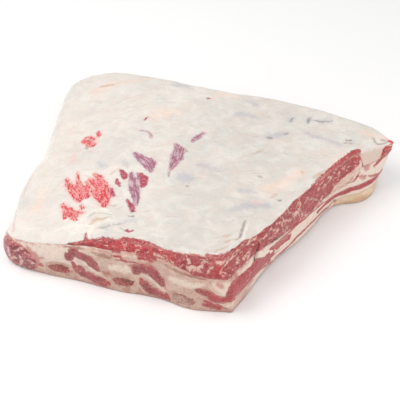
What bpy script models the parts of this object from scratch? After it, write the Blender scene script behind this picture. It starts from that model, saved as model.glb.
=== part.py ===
"""Raw beef short ribs: a slab sawn across three ribs and the tip of a fourth, under its cap of fat.

Sizes are in millimetres, measured from the slab's front right corner, until a mesh is written in metres.
The ribs run away from the front, +Y, and fan out; the pleural side is down and the fat cap is up.
"""

import math

import bmesh
import bpy
import numpy as np

MM = 0.001
MIDDLE_X = -63.7
MIDDLE_Y = 130.2
GAP = 0.3
THROUGH = 290.0

# The slab in plan at half its height: station along the edge, x, y.
FRONT_EDGE = (
    (0.0, -204, 14), (0.04, -196, 5), (0.1, -181, 0), (0.2, -160, -2), (0.35, -130, -1),
    (0.5, -100, -3), (0.7, -60, -2), (0.86, -29, -6), (1.0, 2, -1),
)
BACK_EDGE = (
    (0.0, -222, 259), (0.05, -208, 266), (0.12, -189, 265), (0.2, -166, 257), (0.35, -116, 244),
    (0.5, -66, 239), (0.65, -16, 239), (0.8, 41, 231), (0.9, 75, 218), (1.0, 100, 197),
)
LEFT_EDGE = (
    (0.0, -204, 14), (0.09, -204, 36), (0.22, -210, 66), (0.33, -212, 90), (0.45, -211, 120),
    (0.6, -219, 160), (0.75, -227, 200), (0.85, -231, 224), (0.94, -229, 246), (1.0, -222, 259),
)
RIGHT_EDGE = (
    (0.0, 2, -1), (0.1, 9, 20), (0.2, 16, 42), (0.33, 26, 68), (0.45, 36, 93), (0.57, 46, 118),
    (0.68, 55, 140), (0.76, 64, 154), (0.84, 77, 166), (0.92, 89, 179), (1.0, 100, 197),
)
RIGHT_INWARD = (-0.924, 0.384)

# How far the upper and lower rims of the right side lie inside its half-height line: station, top, bottom.
RIGHT_RIMS = (
    (0.0, 15, 0), (0.1, 13, 0), (0.2, 5, 1), (0.33, 3, 1), (0.45, 5, -2), (0.57, 3, -2),
    (0.68, 1, 0), (0.76, 1, 0), (0.84, 7, -6), (0.92, 7, -3), (1.0, -4, 6),
)
LEFT_ROLL = 21.0
LEFT_UNDERCUT = 8.0
FRONT_SLOPE = ((0.0, 12), (0.38, 16), (0.55, 11), (0.7, 11), (0.88, 15), (1.0, 9))
FRONT_ROLL = 17.0
BACK_ROLL = 8.0
BACK_UNDERCUT = 3.0

# Heights: the cap's upper face, the lip under the right side, and the seam under the upper muscle.
LEFT_TOP = ((0.0, 36), (0.3, 35), (0.6, 34), (0.85, 33), (1.0, 32))
THICKNESS = 51.0
TOP_RISE = 0.36
RIGHT_LIP = ((0.0, 0), (0.12, 1), (0.25, 2.5), (0.65, 2.5), (0.8, 0.5), (0.9, 0.5), (1.0, 5))
LEFT_LIP = 3.0
SEAM_FRONT = (
    (0.0, 25), (0.08, 29), (0.2, 34), (0.32, 38.5), (0.42, 41), (0.52, 42.6), (0.6, 43.6),
    (0.7, 42.4), (0.8, 40), (0.9, 36.6), (0.95, 35), (1.0, 34.5),
)
SEAM_BACK = ((0.0, 19), (0.15, 24), (0.35, 30), (0.6, 30), (0.75, 27), (0.88, 23.5), (1.0, 21))
SEAM_FALL = ((0.0, 0), (0.1, 0), (0.18, 0.02), (0.25, 0.2), (0.37, 0.64), (0.5, 0.88), (0.62, 1), (1.0, 1))
SEAM_TIP_RISE = 14.0

# The upper muscle: where its thin left edge and its right edge lie across the slab, and the fat above it.
MUSCLE_LEFT = ((-0.05, 0.33), (0.0, 0.31), (0.12, 0.19), (0.3, 0.11), (0.6, 0.08), (1.05, 0.08))
MUSCLE_RIGHT = (
    (-0.05, 1.04), (0.8, 1.04), (0.87, 1.0), (0.92, 0.955), (0.95, 0.965), (0.98, 1.03), (1.05, 1.05),
)
MUSCLE_EDGE = 1.2
MUSCLE_RAMP = 0.22
CAP_EDGE = 2.8
CAP_MIDDLE = 6.0

# The ribs at the front cut: centre, half width, height of the middle, half height, then the marrow's
# half width, height of the middle and half height.
RIBS = (
    (-145.8, 13.0, 8.2, 10.2, 11.0, 11.0, 6.0),
    (-88.6, 11.8, 9.0, 10.4, 10.4, 12.3, 5.8),
    (-36.0, 13.0, 7.4, 10.1, 11.5, 9.3, 6.9),
)
RIB_SQUARENESS = 2.7
MARROW_SQUARENESS = 2.2
RIB_WIDENING = 0.12
TIP_RIB = (24.0, 13.5, 3.2, 6.6)
TIP_RIB_START = 120.0
FAN_LENGTH = 235.0
FAN_SHIFT = 16.0
FAN_SPREAD = 0.377
FAN_CENTRE = -147.0

# Muscles between the ribs, as a band along a path at the front cut: path of x, z; half thickness; how far
# back it runs; how its height above a base falls towards the back; that base.
BANDS = {
    "intercostal_a_upper": (
        ((-137.5, 25), (-133, 31.5), (-124.5, 31.5), (-110.5, 20.5)), 5.0, THROUGH, 0.5, 18,
    ),
    "intercostal_a_lower": (
        ((-128, 17.2), (-126, 12), (-118, 8.9), (-106.5, 7.6)), 4.7, THROUGH, 0.05, 2.2,
    ),
    "intercostal_b_upper": (
        ((-77.8, 25.5), (-74.5, 30), (-67, 30.5), (-55.5, 18.8)), 5.4, THROUGH, 0.5, 18,
    ),
    "intercostal_b_lower": (
        ((-69.6, 15.4), (-68.6, 10.8), (-62.5, 7), (-56, 5.7)), 4.8, THROUGH, 0.05, 2.2,
    ),
    "intercostal_c_upper": (
        ((-22.5, 22), (-14.5, 20), (-7, 13.6), (-0.8, 15.5), (1.5, 23), (2, 30)), 4.2, 84, 0.72, 2.2,
    ),
    "intercostal_c_lower": (
        ((-17.6, 8), (-12, 6.6), (-5.5, 4.6)), 3.2, 52, 0.2, 2.2,
    ),
}
CORNER_DRIFT = 0.07
TIP_BAND_PATH = ((-6, 3), (6, 11), (22, 15), (38, 11.5))
TIP_BAND_HALF = 2.6
TIP_BAND_START = 112.0

# The marbled muscle at the left end: centre x, half width, centre z, half height, and how it draws in.
END_MEAT = (-185.0, 19.5, 12.5, 14.2)
END_MEAT_DRAW_IN = 9.0
END_MEAT_LIFT = 4.5
END_MEAT_SQUARENESS = 2.3
END_MEAT_LENGTH = 246.0

ACROSS = 22
ALONG = 16
RIB_POINTS = 14
BAND_POINTS = 14
LOFT_RINGS = 7
OUTSIDE = 9.0
SHARP_ANGLE = 50.0

FAT = (0.80, 0.74, 0.66, 1)
SEAM = (0.75, 0.60, 0.52, 1)
MEAT = (0.46, 0.085, 0.09, 1)
BONE = (0.66, 0.45, 0.39, 1)
MARROW = (0.34, 0.10, 0.09, 1)


def ease(t):
    """0 below 0, 1 above 1, and a smooth step between."""
    t = np.clip(t, 0.0, 1.0)
    return t * t * (3 - 2 * t)


def bend(table, at, column=1):
    """Smooth curve through a table's stations, carried on straight past its ends."""
    rows = np.array(table, float)
    station = rows[:, 0]
    value = rows[:, column]
    slope = np.gradient(value, station)
    inside = np.clip(at, station[0], station[-1])
    i = np.clip(np.searchsorted(station, inside) - 1, 0, len(station) - 2)
    step = station[i + 1] - station[i]
    t = (inside - station[i]) / step
    curve = (
        (2 * t**3 - 3 * t**2 + 1) * value[i]
        + (t**3 - 2 * t**2 + t) * step * slope[i]
        + (3 * t**2 - 2 * t**3) * value[i + 1]
        + (t**3 - t**2) * step * slope[i + 1]
    )
    return curve + (at - inside) * np.where(at < station[0], slope[0], slope[-1])


def plan(u, v):
    """The slab's half-height outline filled in: u runs from its left edge to its right, v front to back."""
    place = []
    for column in (1, 2):
        front = bend(FRONT_EDGE, u, column)
        back = bend(BACK_EDGE, u, column)
        left = bend(LEFT_EDGE, v, column)
        right = bend(RIGHT_EDGE, v, column)
        near = (1 - u) * FRONT_EDGE[0][column] + u * FRONT_EDGE[-1][column]
        far = (1 - u) * BACK_EDGE[0][column] + u * BACK_EDGE[-1][column]
        place.append((1 - v) * front + v * back + (1 - u) * left + u * right - (1 - v) * near - v * far)
    return place


def roll(w, middle, top, bottom):
    """How far a rounded side draws in at height w: top at its upper rim, bottom at its lower one."""
    up = np.clip((w - middle) / (1 - middle), 0, 1)
    down = np.clip((middle - w) / middle, 0, 1)
    return top * (1 - np.sqrt(1 - up * up)) + bottom * (1 - np.sqrt(1 - down * down))


def draw_in(u, v, w):
    """Inward shift of each side at height w, fading away from the side."""
    u = np.clip(u, 0, 1)
    v = np.clip(v, 0, 1)
    corner = 1 - ease(v / 0.14)
    left = roll(w, 0.5 - 0.26 * corner, LEFT_ROLL, LEFT_UNDERCUT * (1 - 0.6 * corner)) * (1 - u) ** 4
    rolled = 1 - ease((u - 0.2) / 0.16)
    slope = bend(FRONT_SLOPE, u) * np.clip((w - 0.72) / 0.28, 0, 1) ** 1.2
    front = (slope + (roll(w, 0.45, FRONT_ROLL, 1.5) - slope) * rolled) * (1 - v) ** 5
    upper = np.clip((w - 0.45) / 0.55, 0, 1) ** 1.4
    lower = np.clip((0.5 - w) / 0.5, 0, 1) ** 1.4
    rims = bend(RIGHT_RIMS, v, 1) * upper + bend(RIGHT_RIMS, v, 2) * lower
    right = rims * u**6
    back = roll(w, 0.5, BACK_ROLL, BACK_UNDERCUT) * v**5 * (1 - 0.7 * ease((u - 0.8) / 0.2))
    return left + right * RIGHT_INWARD[0], front - back + right * RIGHT_INWARD[1]


def top_of(u, v):
    """Height of the cap's upper face: low along the left side, level over the ribs, gently uneven."""
    low = bend(LEFT_TOP, v)
    high = THICKNESS + 2.5 * np.sin(math.pi * np.clip(v, 0, 1)) * np.sin(math.pi * np.clip(u, 0, 1))
    high = high - 1.5 * ease((u - 0.8) / 0.2) * (1 - ease(v / 0.2))
    swell = 0.9 * np.sin(9.5 * u + 2.1 * v) * np.sin(7.3 * v - 3.0 * u + 0.8)
    return low + (high - low) * ease(u / TOP_RISE) + swell


def foot_of(u, v):
    """Height of the underside: flat, with the lips of the left and right sides raised."""
    right = bend(RIGHT_LIP, v) * np.exp(-np.clip(1 - u, 0, 1) / 0.022)
    return right + LEFT_LIP * ease(v / 0.2) * np.exp(-np.clip(u, 0, 1) / 0.02)


def seam_of(u, v):
    """Height of the seam that the upper muscle and the cap lie on."""
    front = bend(SEAM_FRONT, u)
    back = bend(SEAM_BACK, u)
    tip = SEAM_TIP_RISE * ease((v - 0.76) / 0.12) * ease((u - 0.78) / 0.2)
    return front + (back - front) * bend(SEAM_FALL, v) + tip


def muscle_top_of(u, v):
    """Height of the upper muscle's top: a wedge that thins out to the left under a thicker cap."""
    rim = np.minimum(np.clip(1 - u, 0, 1) / 0.16, np.clip(v, 0, 1) / 0.18)
    cap = CAP_EDGE + (CAP_MIDDLE - CAP_EDGE) * ease(rim)
    seam = seam_of(u, v)
    full = top_of(u, v) - cap - seam - MUSCLE_EDGE
    return seam + MUSCLE_EDGE + full * ease((u - bend(MUSCLE_LEFT, v)) / MUSCLE_RAMP)


def at_height(u, v, z):
    """Point of the slab at plan place u, v and height z."""
    foot = foot_of(u, v)
    w = (z - foot) / (top_of(u, v) - foot)
    x, y = plan(u, v)
    dx, dy = draw_in(u, v, w)
    return np.stack([x + dx, y + dy, z], axis=-1)


def fan(x, y):
    """Where a point of the front cut lies at depth y, as the ribs spread out."""
    return x + y / FAN_LENGTH * (FAN_SHIFT + FAN_SPREAD * (x - FAN_CENTRE))


def write(name, mesh, collection, colour=None, roughness=0.4, guide=False):
    """Mesh in mm from the corner, written as an object in metres about the middle of the underside."""
    bmesh.ops.recalc_face_normals(mesh, faces=mesh.faces[:])
    for vert in mesh.verts:
        vert.co.x = (vert.co.x - MIDDLE_X) * MM
        vert.co.y = (vert.co.y - MIDDLE_Y) * MM
        vert.co.z = vert.co.z * MM
    data = bpy.data.meshes.new(name)
    mesh.to_mesh(data)
    mesh.free()
    data.shade_smooth()
    thing = bpy.data.objects.new(name, data)
    collection.objects.link(thing)
    if guide:
        thing.hide_render = True
        thing.display_type = "WIRE"
    else:
        data.set_sharp_from_angle(angle=math.radians(SHARP_ANGLE))
        data.materials.append(surface(name, colour, roughness))
    return thing


def surface(name, colour, roughness):
    """Plain Principled material."""
    material = bpy.data.materials.new(name)
    material.use_nodes = True
    shader = material.node_tree.nodes["Principled BSDF"]
    shader.inputs["Base Color"].default_value = colour
    shader.inputs["Roughness"].default_value = roughness
    shader.inputs["Metallic"].default_value = 0.0
    return material


def layer(across, along, walls, place):
    """A grid raised into a block of unit size, then set in place: place takes u, v and 0 to 1 upwards."""
    mesh = bmesh.new()
    bmesh.ops.create_grid(mesh, x_segments=across, y_segments=along, size=0.5)
    raised = bmesh.ops.extrude_face_region(mesh, geom=mesh.faces[:] + mesh.edges[:], use_keep_orig=True)
    for part in raised["geom"]:
        if isinstance(part, bmesh.types.BMVert):
            part.co.z = 1.0
    upright = [edge for edge in mesh.edges if abs(edge.verts[0].co.z - edge.verts[1].co.z) > 0.5]
    if walls > 1:
        bmesh.ops.subdivide_edges(mesh, edges=upright, cuts=walls - 1, use_grid_fill=True)
    spots = np.array([vert.co[:] for vert in mesh.verts])
    points = place(spots[:, 0] + 0.5, spots[:, 1] + 0.5, spots[:, 2])
    for vert, point in zip(mesh.verts, points):
        vert.co = point
    bmesh.ops.triangulate(mesh, faces=mesh.faces[:], quad_method="FIXED")
    return mesh


def loft(section, start, end, around, rings):
    """A closed tube through the rings that section gives at each depth y."""
    mesh = bmesh.new()
    bmesh.ops.create_cone(mesh, cap_ends=True, segments=around, radius1=1, radius2=1, depth=1)
    lengthwise = [edge for edge in mesh.edges if abs(edge.verts[0].co.z - edge.verts[1].co.z) > 0.5]
    bmesh.ops.subdivide_edges(mesh, edges=lengthwise, cuts=rings - 2, use_grid_fill=True)
    outlines = {}
    for vert in mesh.verts:
        depth = round(start + (end - start) * (vert.co.z + 0.5), 3)
        if depth not in outlines:
            outlines[depth] = section(depth)
        turn = math.atan2(vert.co.x, vert.co.y) / (2 * math.pi)
        x, z = outlines[depth][round(turn * around) % around]
        vert.co = (x, depth, z)
    bmesh.ops.triangulate(mesh, faces=mesh.faces[:])
    return mesh


def widened(outline, grow):
    """Closed outline moved out by grow, its points running anticlockwise."""
    ahead = np.roll(outline, -1, axis=0) - outline
    ahead /= np.linalg.norm(ahead, axis=1, keepdims=True)
    along = ahead + np.roll(ahead, 1, axis=0)
    along /= np.linalg.norm(along, axis=1, keepdims=True)
    return outline + grow * np.stack([along[:, 1], -along[:, 0]], axis=1)


def oval(centre_x, half_width, centre_z, half_height, around, squareness=2.0):
    """Anticlockwise oval in x, z, squarer as squareness grows."""
    turn = np.arange(around) * 2 * math.pi / around
    c = np.cos(turn)
    s = np.sin(turn)
    x = centre_x + half_width * np.sign(c) * np.abs(c) ** (2 / squareness)
    z = centre_z + half_height * np.sign(s) * np.abs(s) ** (2 / squareness)
    return np.stack([x, z], axis=1)


def band(path, half, around):
    """Anticlockwise outline of a band with rounded ends along a path in x, z."""
    path = np.array(path, float)
    run = np.concatenate([[0], np.cumsum(np.linalg.norm(np.diff(path, axis=0), axis=1))])
    steps = around // 2
    spots = np.linspace(0, run[-1], steps)
    rows = np.column_stack([run, path])
    middle = np.stack([bend(rows, spots, 1), bend(rows, spots, 2)], axis=1)
    along = np.gradient(middle, axis=0)
    along /= np.linalg.norm(along, axis=1, keepdims=True)
    across = np.stack([-along[:, 1], along[:, 0]], axis=1)
    share = np.abs(np.linspace(-1, 1, steps))[:, None]
    reach = half * np.sqrt(1 - 0.8 * share**4)
    out = along * np.linspace(-1, 1, steps)[:, None] ** 5 * half * 0.6
    upper = middle + out + across * reach
    lower = middle + out - across * reach
    return np.concatenate([lower, upper[::-1]])


def fanned(outline, depth, fall, base, drift=0.0):
    """A band's front outline taken back to a depth: spread with the ribs and brought down."""
    height = 1 - fall * ease(depth / (0.75 * FAN_LENGTH))
    x = fan(outline[:, 0], depth) + drift * depth
    over = np.clip(outline[:, 1] - base, 0, None)
    return np.stack([x, outline[:, 1] - over * (1 - height)], axis=1)


def rib_section(rib, grow=0.0):
    """Section of a rib's outer surface at any depth."""
    centre, half, middle, height = rib[:4]

    def at(depth):
        share = depth / FAN_LENGTH
        width = half * (1 + RIB_WIDENING * share + 0.03 * math.sin(5 * share + centre))
        outline = oval(fan(centre, depth), width, middle, height, RIB_POINTS, RIB_SQUARENESS)
        if grow:
            return widened(outline, grow)
        outline[:, 1] = np.maximum(outline[:, 1], 0)
        return outline

    return at


def marrow_section(rib, grow=0.0):
    """Section of the marrow inside a rib."""
    centre, half, middle, height = rib[0], rib[4], rib[5], rib[6]

    def at(depth):
        width = half * (1 + RIB_WIDENING * depth / FAN_LENGTH)
        outline = oval(fan(centre, depth), width, middle, height, RIB_POINTS, MARROW_SQUARENESS)
        return widened(outline, grow) if grow else outline

    return at


def band_section(path, half, end, fall, base, drift=0.0, grow=0.0, start=-OUTSIDE):
    """Section of a muscle band: it thins towards an end that lies inside the slab."""

    def at(depth):
        size = 1.0
        if end < FAN_LENGTH:
            size = 1 - 0.55 * ease((depth - 0.45 * end) / (0.55 * end))
        if start > 0:
            size = 0.4 + 0.6 * ease((depth - start) / 20)
        outline = fanned(band(path, half * size, BAND_POINTS), depth, fall, base, drift)
        return widened(outline, grow) if grow else outline

    return at


def end_meat_section(grow=0.0):
    """Section of the left end's muscle, open at the corner and drawn in under the fat behind it."""
    centre, half, middle, height = END_MEAT

    def at(depth):
        inward = END_MEAT_DRAW_IN * ease((depth - 4) / 34)
        lift = END_MEAT_LIFT * ease((depth - 2) / 26)
        sag = 0.28 * height * ease((depth - 30) / 150)
        outline = oval(
            fan(centre, depth) + inward - 6 * depth / FAN_LENGTH, half - 0.45 * inward,
            middle + lift - sag, height - 0.35 * lift - sag, BAND_POINTS, END_MEAT_SQUARENESS,
        )
        return widened(outline, grow) if grow else outline

    return at


def boolean(thing, operation, other=None, collection=None):
    """Exact Boolean modifier against one object or a collection."""
    cut = thing.modifiers.new(operation.title(), "BOOLEAN")
    cut.operation = operation
    cut.solver = "EXACT"
    cut.use_self = True
    if collection:
        cut.operand_type = "COLLECTION"
        cut.collection = collection
    else:
        cut.object = other


def collection_of(name, parent):
    """New collection inside another."""
    made = bpy.data.collections.new(name)
    parent.children.link(made)
    return made


def lower_block(u, v, level):
    """From the underside up to the seam."""
    foot = foot_of(u, v)
    seam = seam_of(u, v) - GAP / 2
    return at_height(u, v, foot + (seam - foot) * level)


def rib_block(u, v, level):
    """The lower block run on below the underside, to trim the ribs' ends and leave their flat feet."""
    foot = foot_of(u, v) - 4
    seam = seam_of(u, v) - GAP / 2
    return at_height(u, v, foot + (seam - foot) * level)


def upper_block(u, v, level):
    """From the seam up to the cap's upper face."""
    seam = seam_of(u, v) + GAP / 2
    return at_height(u, v, seam + (top_of(u, v) - seam) * level)


def muscle_block(grow):
    """The upper muscle, run out past the cut sides and below the seam, to be trimmed by the upper block."""

    def place(a, b, level):
        v = -0.04 + 1.08 * b
        left = bend(MUSCLE_LEFT, v) - grow / 250
        u = left + (bend(MUSCLE_RIGHT, v) + grow / 250 - left) * a
        low = seam_of(u, v) - 3
        return at_height(u, v, low + (muscle_top_of(u, v) + grow - low) * level)

    return place


def main():
    for thing in list(bpy.data.objects):
        bpy.data.objects.remove(thing, do_unlink=True)
    scene = bpy.context.scene
    ribs = collection_of("raw_beef_short_ribs", scene.collection)
    guides = collection_of("guides", scene.collection)
    seam_cutters = collection_of("seam_cutters", guides)

    lower_guide = write("lower_guide", layer(ACROSS, ALONG, 3, lower_block), guides, guide=True)
    upper_guide = write("upper_guide", layer(ACROSS, ALONG, 4, upper_block), guides, guide=True)
    rib_guide = write("rib_guide", layer(ACROSS, ALONG, 3, rib_block), guides, guide=True)

    pieces = []
    for number, rib in enumerate(RIBS, 1):
        pieces.append((f"rib_bone_{number}", rib_section, (rib,), -OUTSIDE, THROUGH, RIB_POINTS, BONE))
    pieces.append(("rib_bone_4", rib_section, (TIP_RIB,), TIP_RIB_START, THROUGH, RIB_POINTS, BONE))
    for name, (path, half, end, fall, base) in BANDS.items():
        drift = CORNER_DRIFT if name == "intercostal_c_upper" else 0.0
        sizes = (path, half, end, fall, base, drift)
        pieces.append((name, band_section, sizes, -OUTSIDE, end, BAND_POINTS, MEAT))
    tip = (TIP_BAND_PATH, TIP_BAND_HALF, THROUGH, 0.0, 0.0, 0.0)
    pieces.append(("intercostal_d", band_section, tip, TIP_BAND_START, THROUGH, BAND_POINTS, MEAT))
    pieces.append(("end_meat", end_meat_section, (), -OUTSIDE, END_MEAT_LENGTH, BAND_POINTS, MEAT))

    for name, section, sizes, start, end, around, colour in pieces:
        rings = LOFT_RINGS if end - start > 150 else LOFT_RINGS - 2
        thing = write(name, loft(section(*sizes), start, end, around, rings), ribs, colour, 0.35)
        boolean(thing, "INTERSECT", rib_guide if start < 0 and colour == BONE else lower_guide)
        extra = GAP if start > 0 or end < THROUGH else 0.0
        wide = loft(section(*sizes, grow=GAP), start - extra, end + extra, around, rings)
        write(f"{name}_cutter", wide, seam_cutters, guide=True)

    for number, rib in enumerate(RIBS, 1):
        core = loft(marrow_section(rib), -OUTSIDE, THROUGH, RIB_POINTS, LOFT_RINGS)
        boolean(write(f"rib_marrow_{number}", core, ribs, MARROW, 0.6), "INTERSECT", lower_guide)
        bore = loft(marrow_section(rib, grow=GAP), -OUTSIDE - 2, THROUGH + 2, RIB_POINTS, LOFT_RINGS)
        cutter = write(f"rib_bore_{number}", bore, guides, guide=True)
        boolean(bpy.data.objects[f"rib_bone_{number}"], "DIFFERENCE", cutter)

    seam_fat = write("seam_fat", layer(ACROSS, ALONG, 3, lower_block), ribs, SEAM, 0.45)
    boolean(seam_fat, "DIFFERENCE", collection=seam_cutters)

    muscle = write("upper_muscle", layer(18, ALONG, 2, muscle_block(0.0)), ribs, MEAT, 0.35)
    boolean(muscle, "INTERSECT", upper_guide)
    muscle_cutter = write("upper_muscle_cutter", layer(18, ALONG, 2, muscle_block(GAP)), guides, guide=True)
    cap = write("fat_cap", layer(ACROSS, ALONG, 4, upper_block), ribs, FAT, 0.45)
    boolean(cap, "DIFFERENCE", muscle_cutter)


main()
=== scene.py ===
"""Raw beef short ribs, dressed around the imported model.

Shapes are worked out in millimetres from the slab's front right corner, with the ribs running away along +Y,
and are written in metres about the middle of the underside.
"""

import math

import bpy
import numpy as np
from bpy.props import FloatProperty, FloatVectorProperty, IntProperty, PointerProperty
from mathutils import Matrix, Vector
from mathutils.bvhtree import BVHTree


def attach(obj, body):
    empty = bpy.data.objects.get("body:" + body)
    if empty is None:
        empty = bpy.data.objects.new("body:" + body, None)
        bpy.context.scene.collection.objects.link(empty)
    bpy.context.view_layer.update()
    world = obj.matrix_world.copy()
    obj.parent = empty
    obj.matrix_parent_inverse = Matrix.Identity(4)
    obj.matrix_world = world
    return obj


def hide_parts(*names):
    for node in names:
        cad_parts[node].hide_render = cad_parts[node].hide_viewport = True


bl_info = {
    "name": "Raw beef short ribs",
    "version": (1, 0, 0),
    "blender": (4, 5, 0),
    "location": "View3D > Sidebar > Short ribs",
    "description": "Builds a slab of raw beef short ribs: fat, muscle, bone and marrow",
    "category": "Add Mesh",
}

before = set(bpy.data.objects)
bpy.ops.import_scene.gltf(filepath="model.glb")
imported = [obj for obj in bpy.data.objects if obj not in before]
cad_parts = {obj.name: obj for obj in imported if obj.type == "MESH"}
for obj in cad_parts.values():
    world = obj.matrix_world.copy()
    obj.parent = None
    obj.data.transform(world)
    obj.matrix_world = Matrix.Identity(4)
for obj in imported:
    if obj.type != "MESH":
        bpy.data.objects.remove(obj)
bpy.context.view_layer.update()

# The middle of the underside, measured from the front right corner, and a depth past the slab's back.
MM = 0.001
MIDDLE_X = -63.7
MIDDLE_Y = 130.2
THROUGH = 290.0
# A point this close to the unit block's edge lies on one of the slab's sides.
RIM = 1e-4
# How far light sinks into raw tissue, in metres, and how the reds go further than the blues.
LIGHT_DEPTH = 0.0015
LIGHT_SPREAD = (1.0, 0.45, 0.3)

# The slab in plan at half its height: station along the edge, x, y.
FRONT_EDGE = (
    (0.0, -204, 14), (0.04, -196, 5), (0.1, -181, 0), (0.2, -160, -2), (0.35, -130, -1),
    (0.5, -100, -3), (0.7, -60, -2), (0.86, -29, -6), (1.0, 2, -1),
)
BACK_EDGE = (
    (0.0, -222, 259), (0.05, -208, 266), (0.12, -189, 265), (0.2, -166, 257), (0.35, -116, 244),
    (0.5, -66, 239), (0.65, -16, 239), (0.8, 41, 231), (0.9, 75, 218), (1.0, 100, 197),
)
LEFT_EDGE = (
    (0.0, -204, 14), (0.09, -204, 36), (0.22, -210, 66), (0.33, -212, 90), (0.45, -211, 120),
    (0.6, -219, 160), (0.75, -227, 200), (0.85, -231, 224), (0.94, -229, 246), (1.0, -222, 259),
)
RIGHT_EDGE = (
    (0.0, 2, -1), (0.1, 9, 20), (0.2, 16, 42), (0.33, 26, 68), (0.45, 36, 93), (0.57, 46, 118),
    (0.68, 55, 140), (0.76, 64, 154), (0.84, 77, 166), (0.92, 89, 179), (1.0, 100, 197),
)
RIGHT_INWARD = (-0.924, 0.384)

# How far the upper and lower rims of the right side lie inside its half-height line: station, top, bottom.
RIGHT_RIMS = (
    (0.0, 15, 0), (0.1, 13, 0), (0.2, 5, 1), (0.33, 3, 1), (0.45, 5, -2), (0.57, 3, -2),
    (0.68, 1, 0), (0.76, 1, 0), (0.84, 7, -6), (0.92, 7, -3), (1.0, -4, 6),
)
LEFT_ROLL = 21.0
LEFT_UNDERCUT = 8.0
FRONT_SLOPE = ((0.0, 12), (0.38, 16), (0.55, 11), (0.7, 11), (0.88, 15), (1.0, 9))
FRONT_ROLL = 17.0
BACK_ROLL = 8.0
BACK_UNDERCUT = 3.0

# Heights: the cap's upper face, the lips under the sides, and the seam under the upper muscle.
LEFT_TOP = ((0.0, 36), (0.3, 35), (0.6, 34), (0.85, 33), (1.0, 32))
THICKNESS = 51.0
TOP_RISE = 0.36
RIGHT_LIP = ((0.0, 0), (0.12, 1), (0.25, 2.5), (0.65, 2.5), (0.8, 0.5), (0.9, 0.5), (1.0, 5))
LEFT_LIP = 3.0
SEAM_FRONT = (
    (0.0, 25), (0.08, 29), (0.2, 34), (0.32, 38.5), (0.42, 41), (0.52, 42.6), (0.6, 43.6),
    (0.7, 42.4), (0.8, 40), (0.9, 36.6), (0.95, 35), (1.0, 34.5),
)
SEAM_BACK = ((0.0, 19), (0.15, 24), (0.35, 30), (0.6, 30), (0.75, 27), (0.88, 23.5), (1.0, 21))
SEAM_FALL = ((0.0, 0), (0.1, 0), (0.18, 0.02), (0.25, 0.2), (0.37, 0.64), (0.5, 0.88), (0.62, 1), (1.0, 1))
SEAM_TIP_RISE = 14.0

# The upper muscle: where its thin left edge and its right edge lie across the slab, and the fat above it.
MUSCLE_LEFT = ((-0.05, 0.33), (0.0, 0.31), (0.12, 0.19), (0.3, 0.11), (0.6, 0.08), (1.05, 0.08))
MUSCLE_RIGHT = (
    (-0.05, 1.04), (0.8, 1.04), (0.87, 1.0), (0.92, 0.955), (0.95, 0.965), (0.98, 1.03), (1.05, 1.05),
)
MUSCLE_EDGE = 1.2
MUSCLE_RAMP = 0.22
CAP_EDGE = 2.8
CAP_MIDDLE = 6.0

# The ribs at the front cut: centre, half width, height of the middle, half height, then the marrow's
# half width, height of the middle and half height.
RIBS = (
    (-145.8, 13.0, 8.2, 10.2, 11.0, 11.0, 6.0),
    (-88.6, 11.8, 9.0, 10.4, 10.4, 12.3, 5.8),
    (-36.0, 13.0, 7.4, 10.1, 11.5, 9.3, 6.9),
)
RIB_SQUARENESS = 2.7
MARROW_SQUARENESS = 2.2
RIB_WIDENING = 0.12
TIP_RIB = (24.0, 13.5, 3.2, 6.6)
TIP_RIB_START = 120.0
FAN_LENGTH = 235.0
FAN_SHIFT = 16.0
FAN_SPREAD = 0.377
FAN_CENTRE = -147.0

# Muscles between the ribs, as a band along a path at the front cut: path of x, z; half thickness; how far
# back it runs; how its height above a base falls towards the back; that base.
BANDS = {
    "intercostal_a_upper": (
        ((-137.5, 25), (-133, 31.5), (-124.5, 31.5), (-110.5, 20.5)), 5.0, THROUGH, 0.5, 18,
    ),
    "intercostal_a_lower": (
        ((-128, 17.2), (-126, 12), (-118, 8.9), (-106.5, 7.6)), 4.7, THROUGH, 0.05, 2.2,
    ),
    "intercostal_b_upper": (
        ((-77.8, 25.5), (-74.5, 30), (-67, 30.5), (-55.5, 18.8)), 5.4, THROUGH, 0.5, 18,
    ),
    "intercostal_b_lower": (
        ((-69.6, 15.4), (-68.6, 10.8), (-62.5, 7), (-56, 5.7)), 4.8, THROUGH, 0.05, 2.2,
    ),
    "intercostal_c_upper": (
        ((-22.5, 22), (-14.5, 20), (-7, 13.6), (-0.8, 15.5), (1.5, 23), (2, 30)), 4.2, 84, 0.72, 2.2,
    ),
    "intercostal_c_lower": (
        ((-17.6, 8), (-12, 6.6), (-5.5, 4.6)), 3.2, 52, 0.2, 2.2,
    ),
}
CORNER_DRIFT = 0.07
TIP_BAND_PATH = ((-6, 3), (6, 11), (22, 15), (38, 11.5))
TIP_BAND_HALF = 2.6
TIP_BAND_START = 112.0

# The marbled muscle at the left end: centre x, half width, centre z, half height, and how it draws in.
END_MEAT = (-185.0, 19.5, 12.5, 14.2)
END_MEAT_DRAW_IN = 9.0
END_MEAT_LIFT = 4.5
END_MEAT_SQUARENESS = 2.3
END_MEAT_LENGTH = 246.0
OUTSIDE = 9.0
INLAY_RINGS = 40
INLAY_EDGE = 1.6

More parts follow.
